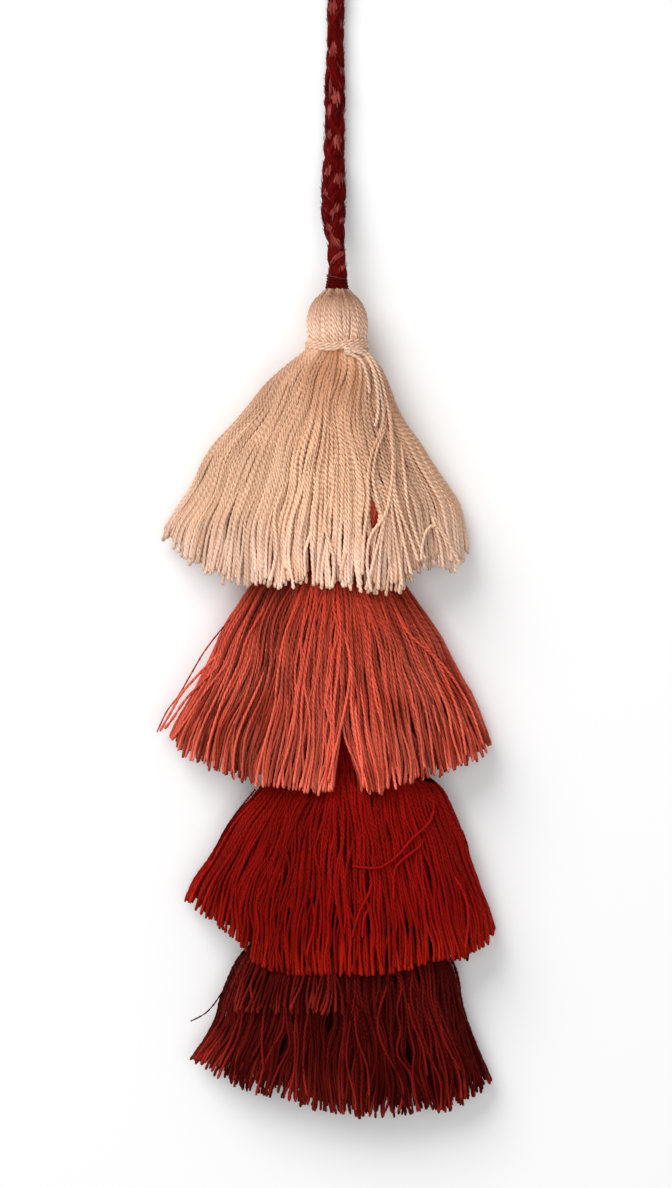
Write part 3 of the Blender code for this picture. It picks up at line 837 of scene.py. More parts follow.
head_rows = [(up, reach, 0.0, 0.0) for up, reach in HEAD_PROFILE]
profile = smooth_route(head_rows, TWIST_PITCH / HEAD_RINGS_A_TURN)[:, :2]
head = Basket()
rng = np.random.default_rng(HEAD_SEED)
for k in range(HEAD_YARNS):
    angle = 2 * np.pi * (k + rng.uniform(-HEAD_UNEVEN, HEAD_UNEVEN)) / HEAD_YARNS
    share = np.linspace(0, 1, len(profile))
    sway = HEAD_SWAY * np.sin(2 * np.pi * (share * rng.uniform(*HEAD_WAVES) + rng.uniform()))
    reach = profile[:, 1] - rng.uniform(*HEAD_DEPTHS) - (k % 2) * CROWN_DEPTH * (1 - share) ** 2
    line = place(np.cos(angle + sway) * reach, profile[:, 0], CORE_HEIGHT + np.sin(angle + sway) * reach)
    head.add(
        line, HEAD_YARN, TWIST_PITCH, ply_section(HEAD_NARROW), tone=rng.uniform(), phase=rng.uniform(),
        facing=outward_from_axis(line),
    )
for k in range(HEAD_UNDER_YARNS):
    angle = 2 * np.pi * (k + 0.5) / HEAD_UNDER_YARNS
    coarse = profile[::HEAD_UNDER_EVERY]
    reach = coarse[:, 1] - HEAD_UNDER_DEPTH
    line = place(np.cos(angle) * reach, coarse[:, 0], CORE_HEIGHT + np.sin(angle) * reach)
    head.add(
        line, HEAD_UNDER_YARN, TWIST_PITCH, PLAIN_SECTION, turning=False, tone=rng.uniform(),
        facing=outward_from_axis(line),
    )
head_piece = head.weave("head_yarns", [head_yarn_lit_shaded])
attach(head_piece, "root")
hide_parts("head")

# %% [markdown]
# ## The skirts
#
# Each skirt is a few hundred yarns tied at the top, which fan out, hang over the tier below and are cut
# at the hem. The skirt's shape is a table: how far it reaches to each side at each drop, how high its
# top lies, and where its widest line is. A yarn gets a place round the neck and a place at the hem and
# follows the shape between them. There is less room at the neck than at the hem, so most yarns start
# deep in the bundle and rise to the surface as it widens.

# %% Tables of the skirts' shapes
Row = namedtuple("Row", "drop left right top waist")

PEACH_ROWS = (
    Row(-1.5, 5.8, 5.8, 12.6, 7.2),
    Row(0.0, 6.8, 6.0, 12.9, 7.2),
    Row(2.0, 9.8, 8.8, 13.5, 7.0),
    Row(6.0, 14.6, 11.0, 14.7, 6.2),
    Row(10.0, 17.6, 12.3, 15.7, 5.4),
    Row(14.0, 21.0, 14.1, 16.3, 4.9),
    Row(18.0, 24.9, 17.0, 16.8, 4.3),
    Row(22.0, 27.4, 19.4, 17.1, 3.8),
    Row(26.0, 29.0, 22.2, 17.2, 3.4),
    Row(30.0, 31.4, 25.0, 17.1, 3.1),
    Row(34.0, 34.5, 26.0, 16.8, 2.9),
    Row(38.0, 36.0, 26.7, 16.3, 2.7),
    Row(44.0, 37.2, 27.4, 15.7, 2.5),
    Row(52.0, 38.6, 28.0, 15.0, 2.4),
)
CORAL_ROWS = (
    Row(-2.0, 3.0, 3.0, 10.5, 7.2),
    Row(0.0, 4.6, 4.6, 11.9, 7.2),
    Row(5.0, 11.2, 9.8, 12.4, 6.4),
    Row(12.0, 18.6, 14.6, 13.2, 5.3),
    Row(14.0, 19.6, 16.1, 13.9, 5.0),
    Row(18.0, 22.4, 19.0, 15.3, 4.3),
    Row(22.0, 24.4, 21.7, 16.3, 3.8),
    Row(26.0, 25.8, 23.4, 16.9, 3.5),
    Row(30.0, 27.8, 25.5, 17.1, 3.2),
    Row(34.0, 30.0, 27.8, 17.0, 2.9),
    Row(38.0, 32.5, 29.4, 16.8, 2.7),
    Row(42.0, 34.4, 31.1, 16.4, 2.5),
    Row(48.0, 35.8, 32.6, 15.7, 2.4),
    Row(55.0, 36.8, 32.2, 15.0, 2.4),
)
RED_ROWS = (
    Row(-2.0, 3.0, 3.0, 10.5, 7.2),
    Row(0.0, 4.6, 4.6, 11.9, 7.2),
    Row(5.0, 10.4, 13.8, 12.4, 6.4),
    Row(11.0, 15.8, 21.9, 13.0, 5.4),
    Row(13.0, 17.5, 22.6, 13.7, 5.1),
    Row(17.0, 21.2, 24.2, 15.1, 4.4),
    Row(21.0, 23.5, 26.2, 15.9, 3.9),
    Row(25.0, 25.8, 27.2, 16.5, 3.5),
    Row(29.0, 28.8, 28.7, 16.8, 3.2),
    Row(33.0, 30.6, 30.0, 16.7, 2.9),
    Row(37.0, 31.6, 31.3, 16.3, 2.7),
    Row(42.0, 32.4, 32.4, 15.7, 2.5),
    Row(50.0, 33.4, 33.4, 14.9, 2.4),
)
MAROON_ROWS = (
    Row(-2.0, 3.0, 3.0, 10.5, 7.2),
    Row(0.0, 4.6, 4.6, 11.9, 7.2),
    Row(8.0, 13.4, 15.2, 12.5, 6.0),
    Row(16.0, 20.4, 23.5, 13.0, 5.0),
    Row(20.0, 22.2, 24.9, 14.0, 4.5),
    Row(24.0, 24.0, 25.3, 14.6, 4.0),
    Row(28.0, 24.7, 26.4, 13.3, 3.6),
    Row(32.0, 26.9, 27.8, 13.1, 3.2),
    Row(36.0, 30.2, 29.4, 12.8, 2.8),
    Row(40.0, 32.0, 31.2, 11.8, 2.5),
    Row(44.0, 32.8, 32.4, 10.2, 2.3),
    Row(50.0, 33.4, 33.2, 8.6, 2.2),
)

# %% The hems: the drop of the longest cut ends at each offset to the side
PEACH_HEM = (
    (-36, 37.2), (-33, 39.7), (-29.5, 42.2), (-26.6, 44.1), (-23, 45.8), (-18, 47.0), (-5, 46.6), (2, 46.8),
    (6, 48.2), (13.2, 48.2), (14.8, 45.8), (16.0, 43.8), (18.5, 43.0), (24, 43.6), (25.4, 42.6), (27, 39.6),
)
CORAL_HEM = (
    (-36, 39.8), (-33, 42.8), (-30.6, 45.2), (-28, 46.4), (-24.6, 47.8), (-21, 49.2), (-15, 51.0),
    (-7.4, 52.0), (-3, 52.6), (7.8, 52.4), (11.4, 50.8), (18.6, 49.4), (20.6, 48.6), (23.4, 47.6),
    (25.8, 46.8), (28.2, 45.8), (31.2, 43.0),
)
RED_HEM = (
    (-31, 33.6), (-28.8, 35.4), (-25, 37.8), (-23, 39.4), (-20, 41.8), (-18, 44.2), (-14, 47.0), (-9, 47.6),
    (8, 47.8), (13.4, 47.0), (19.4, 45.2), (25.4, 44.8), (28.2, 43.6), (30.6, 42.2), (32.0, 40.4),
)
MAROON_HEM = (
    (-31, 36.2), (-29.4, 37.4), (-27, 38.2), (-24.6, 39.4), (-21.6, 40.9), (-17.8, 41.8), (-15, 42.7),
    (-10.6, 43.6), (-7.4, 45.0), (-3.4, 46.2), (1.4, 46.8), (3.8, 47.4), (8.6, 47.2), (13.4, 47.0),
    (17, 45.6), (20.6, 46.6), (23.6, 46.3), (26, 44.5), (29, 42.6), (31.4, 41.0),
)

# %% [markdown]
# Beside its shape and hem each skirt has its own yarn and its own manner. Its counts are the yarns in
# its top row and in the row below it. It is ragged where the cut ends differ, its yarns wander and
# flick sideways at their ends, and they start showing their twist where the tier above no longer hides
# them. A split is where the yarns part.

# %% The four skirts
Split = namedtuple("Split", "side drop half_length half_width")
Skirt = namedtuple(
    "Skirt",
    "node slot root rows hem yarn narrow pitch counts ragged hidden splits wander flick gap skew seed",
)
SKIRTS = (
    Skirt(
        "tier_peach", "peach_yarn", 0.5, PEACH_ROWS, PEACH_HEM, yarn=0.44, narrow=0.64, pitch=2.1,
        counts=(124, 108), ragged=1.7, hidden=-1.5, wander=0.22, flick=0.45, gap=0.9, skew=1.0, seed=1,
        splits=(
            Split(8.8, 26, 4, 0.45), Split(7.2, 33, 5, 1.0), Split(6.0, 41, 5, 0.9),
            Split(13.4, 22, 5, 0.3), Split(-12.8, 42, 5, 0.4),
        ),
    ),
    Skirt(
        "tier_coral", "coral_yarn", 36.0, CORAL_ROWS, CORAL_HEM, yarn=0.32, narrow=0.84, pitch=2.6,
        counts=(136, 120), ragged=0.9, hidden=11.0, wander=0.38, flick=0.3, gap=0.5, skew=1.0, seed=2,
        splits=(Split(2.1, 53, 11, 2.8), Split(11.0, 53, 4, 0.5), Split(16.6, 52, 4, 0.5)),
    ),
    Skirt(
        "tier_red", "red_yarn", 77.0, RED_ROWS, RED_HEM, yarn=0.36, narrow=0.76, pitch=2.3,
        counts=(126, 112), ragged=0.6, hidden=10.0, wander=0.45, flick=0.2, gap=0.2, skew=1.6, seed=3,
        splits=(Split(6.0, 28, 4, 0.5), Split(6.2, 37, 4, 0.4)),
    ),
    Skirt(
        "tier_maroon", "maroon_yarn", 106.0, MAROON_ROWS, MAROON_HEM, yarn=0.34, narrow=0.72, pitch=2.2,
        counts=(124, 112), ragged=1.1, hidden=15.0, wander=0.48, flick=0.4, gap=0.4, skew=1.9, seed=4,
        splits=(Split(-10.6, 33, 3.2, 0.8), Split(-1.6, 28.6, 2.6, 0.8), Split(14.2, 34, 3.0, 0.9)),
    ),
)
YARN_COLOURS = {
    "peach_yarn": peach_yarn, "coral_yarn": coral_yarn, "red_yarn": red_yarn, "maroon_yarn": maroon_yarn,
}

# %% A skirt's shape
ROW_STEP = 0.25
SMOOTHED_ROWS = 13
STEEPEST_SKIN = 0.02
HEM_LEVEL = 40
WIDE_LEVEL = 42.0


class Shape:
    """A skirt's shape with its rows smoothed, asked for at any drop."""

    def __init__(self, rows):
        table = np.array(rows)
        self.drops = np.arange(table[0, 0], table[-1, 0], ROW_STEP)
        window = np.ones(SMOOTHED_ROWS) / SMOOTHED_ROWS
        half = SMOOTHED_ROWS // 2
        self.columns = []
        for column in table.T[1:]:
            fine = np.interp(self.drops, table[:, 0], column)
            before = 2 * fine[0] - fine[half:0:-1]
            after = 2 * fine[-1] - fine[-2:-half - 2:-1]
            self.columns.append(np.convolve(np.concatenate([before, fine, after]), window, mode="valid"))

    def at(self, drop):
        """Left and right reach, top and waist."""
        return [np.interp(drop, self.drops, column) for column in self.columns]

    def skin_height(self, side, drop):
        """How high the skirt's top is at an offset to the side."""
        left, right, top, waist = self.at(drop)
        reach = np.where(side > 0, right, left)
        return waist + (top - waist) * np.sqrt(np.clip(1 - (side / reach) ** 2, STEEPEST_SKIN, 1))

    def around_hem(self, fine=400):
        """A function that turns a place on the hem's upper side, 0 right to 1 left, into an angle."""
        left, right, top, waist = self.at(HEM_LEVEL)
        angle = np.linspace(0, np.pi, fine)
        x = np.where(np.cos(angle) > 0, right, left) * np.cos(angle)
        z = (top - waist) * np.sin(angle)
        walked = np.concatenate([[0], np.cumsum(np.hypot(np.diff(x), np.diff(z)))])
        return lambda spot: np.interp(spot, walked / walked[-1], angle)


def hem_drop(skirt, shape, angle):
    """How long a yarn at this angle is."""
    left, right, _, _ = shape.at(WIDE_LEVEL)
    side = (right if math.cos(angle) > 0 else left) * math.cos(angle)
    return float(np.interp(side, *zip(*skirt.hem)))


# %% [markdown]
# One yarn's line starts from two angles, one at the root and one at the hem. Between them the angle
# eases over, and the tables turn angle and drop into a place on the skirt's skin. Then the yarn sinks
# to its own depth, sways, gives way where the yarns part, and stops at the surface that it lies on.
# Yarns of the underside are pressed flat, except near the edges, where they close the side wall. A
# simulation would settle the yarns too, but it would not put a hem or a parting where the photograph
# has it.

# %% The line of one yarn of a skirt
FAN_LENGTH = 12.0
ROOM_DEPTH = 1.9
SPARE_ROOM = 4
LOWEST_LINE = 0.6
FLOOR_CLEARANCE = 0.02
PULL_FROM = 0.5
FLICK_FROM = 0.8
PAST_END = 1.05
SPLIT_DEPTH = 7.0
SPLIT_REACH = 2.2
SPLIT_SPREAD = 0.6
UNDER_THICKNESS = 1.6
UNDER_HEIGHT = 0.5
FLAT_FROM = 2.0
FLAT_LENGTH = 8.0
WALL_SHARE = 0.2
FLATTENING = 0.35
BURIED_RINGS = 6
LINE_POINTS = 60


def skirt_line(skirt, shape, angles, depth, rank, end, step, sway, pull=0.0, flick=0.0, under=False):
    """A yarn's line. Angles are 0 at the right, a quarter turn on top and a half turn at the left."""
    first = skirt.rows[0].drop
    rings = BURIED_RINGS if skirt.hidden > first else 0
    buried = np.linspace(first, skirt.hidden, BURIED_RINGS, endpoint=False)[:rings]
    drop = np.concatenate([buried, np.linspace(max(first, skirt.hidden), end, LINE_POINTS)])
    left, right, top, waist = shape.at(drop)
    root_angle, hem_angle = angles
    angle = mix(root_angle, hem_angle, ease(drop / FAN_LENGTH))
    angle = angle + pull * ease((drop / end - PULL_FROM) / (PAST_END - PULL_FROM))
    reach = np.where(np.cos(angle) > 0, right, left) - skirt.yarn
    rise = np.where(np.sin(angle) > 0, top - waist, waist - LOWEST_LINE)
    room = np.clip((reach + rise) / (sum(shape.at(end)[:3]) / 2 + SPARE_ROOM), 0, 1)
    sink = depth + ROOM_DEPTH * np.clip(rank - room, 0, 1)
    across, upward = np.cos(angle), np.sin(angle)
    normal = np.stack([across / reach, upward / rise])
    normal /= np.linalg.norm(normal, axis=0)
    tangent = np.stack([-reach * upward, rise * across])
    tangent /= np.linalg.norm(tangent, axis=0)
    sideways = sway(drop) + flick * ease((drop / end - FLICK_FROM) / (PAST_END - FLICK_FROM))
    side = reach * across - sink * normal[0] + sideways * tangent[0]
    height = waist + rise * upward - sink * normal[1] + sideways * tangent[1]
    if under:
        flat = ease((drop - FLAT_FROM) / FLAT_LENGTH) * ease((-upward - WALL_SHARE) / FLATTENING)
        height = np.minimum(height, mix(height, UNDER_HEIGHT + depth, flat))
    for split in () if under else skirt.splits:
        opening = split.half_width * np.exp(-((drop - split.drop) / split.half_length) ** 2)
        opening = opening * np.clip(1 - depth / SPLIT_DEPTH, 0, 1)
        goes_right = np.interp(min(split.drop, end), drop, side) > split.side
        reach_of_split = SPLIT_REACH * split.half_width + SPLIT_SPREAD
        moved = opening * np.exp(-((side - split.side) / reach_of_split) ** 2)
        side = side + (moved if goes_right else -moved)
    lowest = skirt.yarn * (UNDER_THICKNESS if under else 1.0) + FLOOR_CLEARANCE
    line = place(side, -skirt.root - drop, np.maximum(height, lowest))
    return np.concatenate([line[:len(buried)], evenly(line[len(buried):], step)])


# %% [markdown]
# Yarns in a real skirt are never evenly spaced. Neighbours sway together, each wanders a little, a few
# cross over the rest, and towards the hem they cling together in small bunches with dark gaps between.
# The common sway is three slow waves for the whole skirt, and the wander is two waves of each yarn's
# own. Waves are better here than a random step at each point, which would make the yarns look crimped.

# %% How the yarns sway and bunch
LONG_LENGTHS = (22, 38)
SHORT_LENGTHS = (8, 14)
SHORT_SHARE = 0.4
SHARED_COUNT = 3
SHARED_SIZES = (0.6, 1)
SHARED_LENGTHS = (18, 34)
SHARED_TURNS = (3, 11)
SWAY_LENGTH = 14
BUNCH_SIZES = (2, 7)
BUNCH_STRENGTHS = (0.1, 1.0)


def swaying(rng, shared, angle, own):
    """A sideways sway that grows from the root, in millimetres: the skirt's waves and the yarn's own."""
    waves = [
        (own * rng.normal(), rng.uniform(*LONG_LENGTHS), rng.uniform(0, 2 * np.pi)),
        (own * SHORT_SHARE * rng.normal(), rng.uniform(*SHORT_LENGTHS), rng.uniform(0, 2 * np.pi)),
    ]

    def sway(drop):
        total = sum(size * np.sin(2 * np.pi * drop / length + start) for size, length, start in waves)
        for size, length, turns, start in shared:
            total = total + size * np.sin(2 * np.pi * drop / length + turns * angle + start)
        return total * ease(drop / SWAY_LENGTH)

    return sway


def shared_waves(rng, size):
    """The waves of a whole skirt: their size, their length, how they turn round it, and their start."""
    return [
        (
            size * rng.uniform(*SHARED_SIZES), rng.uniform(*SHARED_LENGTHS), rng.uniform(*SHARED_TURNS),
            rng.uniform(0, 2 * np.pi),
        )
        for _ in range(SHARED_COUNT)
    ]


def bunch_pulls(rng, angles, pull):
    """For each yarn of a row, the angle to the middle of its bunch of a few neighbours."""
    found = np.zeros(len(angles))
    i = 0
    while i < len(angles):
        group = slice(i, i + rng.integers(*BUNCH_SIZES))
        found[group] = (angles[group].mean() - angles[group]) * pull * rng.uniform(*BUNCH_STRENGTHS)
        i = group.stop
    return found


# %% [markdown]
# A real skirt is yarn wound in layers and cut, and this one is laid in rows. The top row and the row
# below it have their full twist, and the row below gets lower tones, painted shade for lying deeper.
# What lies deeper still only keeps the gaps dark, so plain yarns on coarse lines do there, which saves
# most of the triangles. Each yarn's tone is drawn at random and then shifted by its place. The shift is
# painted light and shade: mostly lighter in a skirt's middle and darker towards its sides.

# %% Painted light and shade across a skirt: the tone's shift from the hem's right end, 0, to its left end, 1
PAINTED_LIGHT_SHIFT = {
    "tier_peach": (
        (0.0, 0.1), (0.12, -0.1), (0.18, -0.5), (0.25, -0.5), (0.32, 0.0), (0.36, 0.1), (0.48, 0.6),
        (0.60, 0.35), (0.72, -0.35), (1.0, -0.6),
    ),
    "tier_coral": ((0.0, -0.18), (0.30, -0.16), (0.42, 0.12), (0.60, 0.12), (0.72, -0.22), (1.0, -0.26)),
    "tier_red": ((0.0, 0.15), (0.50, 0.05), (0.80, -0.1), (1.0, -0.15)),
    "tier_maroon": ((0.0, 0.0), (1.0, 0.0)),
}

# %% Lay a row of yarns
RINGS_A_TURN = 5
PLAIN_STEP = 4.5
SPACING_UNEVEN = 0.35
BUNCH_PULL = 0.55
PULL_UNEVEN = 0.008
CROSSING_SHARE = 0.08
CROSSING_LIFT = 0.35
CROSSING_PULL = 0.05
ROOT_UNEVEN = 0.015
RAGGED_MIDDLE = 0.45
ROOT_SWELL = 0.32
SWELL_LENGTH = 10.0
THICKNESSES = (0.88, 1.08)
PITCHES = (0.94, 1.06)
NO_LIMIT = 99.0


def lay_row(
    basket, rng, skirt, shape, shared, count, depths, turning, shorter=0.0, longest=NO_LIMIT, span=(0, 1),
    tones=(0, 1),
):
    """A row of yarns side by side over the skirt's upper side."""
    to_angle = shape.around_hem()
    spots = (np.arange(count) + 0.5 + rng.uniform(-SPACING_UNEVEN, SPACING_UNEVEN, count)) / count
    spots = span[0] + (span[1] - span[0]) * spots
    hem_angles = to_angle(spots)
    pulls = bunch_pulls(rng, hem_angles, BUNCH_PULL) + rng.normal(0, PULL_UNEVEN, count)
    ranks = rng.permutation(count) / count
    for spot, hem_angle, pull, rank in zip(spots, hem_angles, pulls, ranks):
        depth = rng.uniform(*depths)
        if turning and rng.uniform() < CROSSING_SHARE:
            depth -= CROSSING_LIFT
            pull += rng.normal(0, CROSSING_PULL)
        root_angle = np.pi * np.clip(spot + rng.normal(0, ROOT_UNEVEN), 0, 1)
        end = min(hem_drop(skirt, shape, hem_angle + pull) - shorter, longest)
        end += skirt.ragged * (RAGGED_MIDDLE - abs(rng.normal()))
        step = skirt.pitch / RINGS_A_TURN if turning else PLAIN_STEP
        line = skirt_line(
            skirt, shape, (root_angle, hem_angle), depth, rank, end, step,
            swaying(rng, shared, hem_angle, skirt.wander), pull, rng.normal(0, skirt.flick),
        )
        # Painted light and shade by place across the skirt, added to the yarn's random tone.
        shift = float(np.interp(spot, *zip(*PAINTED_LIGHT_SHIFT[skirt.node])))
        swell = 1 + ROOT_SWELL * (1 - ease(lengths_along(line) / MM / SWELL_LENGTH))
        radius = skirt.yarn * rng.uniform(*THICKNESSES) * swell
        if turning:
            radius[-len(CUT_END):] *= CUT_END
        basket.add(
            line, radius, skirt.pitch * rng.uniform(*PITCHES),
            ply_section(skirt.narrow) if turning else PLAIN_SECTION, turning=turning,
            tone=mix(*tones, rng.uniform() ** skirt.skew) + shift, phase=rng.uniform(),
            smooth_start=SMOOTH_START, loosen=LOOSENING,
        )


# %% Lay one yarn along its own route
START_SUNK = 0.9
START_LENGTH = 5.0


def lay_loose(basket, skirt, shape, route, lift, tone, thickness=1.0, slot=0):
    """A yarn that comes up from under the surface and runs a lift above it.

    Its route is offsets to the side and down from the neck.
    """
    rows = smooth_route([(side, down, 0.0, 0.0) for side, down in route], skirt.pitch / RINGS_A_TURN)
    side, down = rows[:, 0], rows[:, 1]
    walked = lengths_along(place(side, -down, 0.0)) / MM
    emerging = mix(-START_SUNK, lift, ease(walked / START_LENGTH))
    height = shape.skin_height(side, down - skirt.root) + emerging
    line = evenly(place(side, -down, height), skirt.pitch / RINGS_A_TURN)
    radius = skirt.yarn * thickness * np.ones(len(line))
    radius[-len(CUT_END):] *= CUT_END
    longest = max(drop for _, drop in skirt.hem)
    shares = np.clip((neck_y - line[:, 1] / MM - skirt.root) / longest, 0, 1)
    basket.add(
        line, radius, skirt.pitch, ply_section(skirt.narrow), tone=tone, slot=slot, shares=shares,
        loosen=LOOSENING,
    )


# %% Build one skirt
SHARED_SWAY = 0.3
TOP_DEPTHS = (0.0, 0.45)
SECOND_DEPTHS = (0.5, 0.95)
# The second row's tones stay low: painted shade for lying deeper.
SECOND_SHADED_TONES = (0.0, 0.7)
SHORT_DEPTHS = (-1.2, -0.5)
SHORT_TONES = (0.2, 0.75)
GLIMPSE_LIFT = -1.5
# Coral seen through the peach parting gets low tones: painted shade in the parting.
GLIMPSE_SHADED_TONES = (0, 0.5)
# The buried layers: how many yarns, and how deep.
BURIED_LAYERS = ((84, 1.7), (70, 2.9), (56, 4.6), (48, 6.6))
BURIED_SPREAD = 0.3
BURIED_SHORTER = 0.4
DEEP = 2
PAST_NEXT_ROOT = 2.0
UNDER_YARNS = 96
UNDER_SHORTER = 0.6
UNDER_DEPTHS = (0, 1.0)
UNDER_RANK = 0.5
UNDER_SWAY = 0.16


def dress(basket, skirt, name):
    """Weaves the yarns and ties them to the skirt's solid; coral is for what shows through a parting."""
    piece = basket.weave(name, [YARN_COLOURS[skirt.slot], coral_yarn])
    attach(piece, "root")
    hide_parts(skirt.node)


def build_skirt(skirt, next_root, loose, short_layer, glimpses):
    """All the yarns of one skirt, as one piece for the surface and one for what is under it."""
    rng = np.random.default_rng(skirt.seed)
    shape = Shape(skirt.rows)
    shared = shared_waves(rng, SHARED_SWAY)
    surface, inside = Basket(), Basket()
    top_count, second_count = skirt.counts
    lay_row(surface, rng, skirt, shape, shared, top_count, TOP_DEPTHS, True)
    lay_row(
        inside, rng, skirt, shape, shared, second_count, SECOND_DEPTHS, True, shorter=skirt.gap,
        tones=SECOND_SHADED_TONES,
    )
    if short_layer:
        count, span, longest = short_layer
        lay_row(
            surface, rng, skirt, shape, shared, count, SHORT_DEPTHS, True, longest=longest, span=span,
            tones=SHORT_TONES,
        )
    for route, lift, tone, thickness in loose:
        lay_loose(surface, skirt, shape, route, lift, tone, thickness)
    for route in glimpses:
        lay_loose(inside, skirt, shape, route, GLIMPSE_LIFT, rng.uniform(*GLIMPSE_SHADED_TONES), slot=1)
    for count, depth in BURIED_LAYERS:
        longest = next_root - skirt.root + PAST_NEXT_ROOT if next_root and depth > DEEP else NO_LIMIT
        depths = (depth - BURIED_SPREAD, depth + BURIED_SPREAD)
        lay_row(
            inside, rng, skirt, shape, shared, count, depths, False,
            shorter=skirt.gap + BURIED_SHORTER * depth, longest=longest,
        )
    to_angle = shape.around_hem()
    for spot in (np.arange(UNDER_YARNS) + 0.5) / UNDER_YARNS:
        hem_angle = -to_angle(spot)
        end = hem_drop(skirt, shape, hem_angle) - abs(rng.normal(0, skirt.ragged))
        end = end - skirt.gap - UNDER_SHORTER
        line = skirt_line(
            skirt, shape, (-np.pi * spot, hem_angle), rng.uniform(*UNDER_DEPTHS), UNDER_RANK, end,
            PLAIN_STEP, swaying(rng, shared, hem_angle, UNDER_SWAY), under=True,
        )
        inside.add(
            line, skirt.yarn * UNDER_THICKNESS, skirt.pitch, PLAIN_SECTION, turning=False,
            tone=rng.uniform(),
        )
    dress(surface, skirt, skirt.node + "_surface_yarns")
    dress(inside, skirt, skirt.node + "_inner_yarns")


# %% [markdown]
# A few yarns in the photograph went their own way, and each is laid one by one: those that cross over the
# peach skirt's right side and its small arch, the few that hang loose at the coral skirt's left and the
# ones that cross its sides, the bent ones on the red skirt, and the one that sticks out at the maroon
# skirt's left. No random number would put them there, so each has a short route of its own. The maroon
# skirt also has a row of yarns cut too short at its upper left.

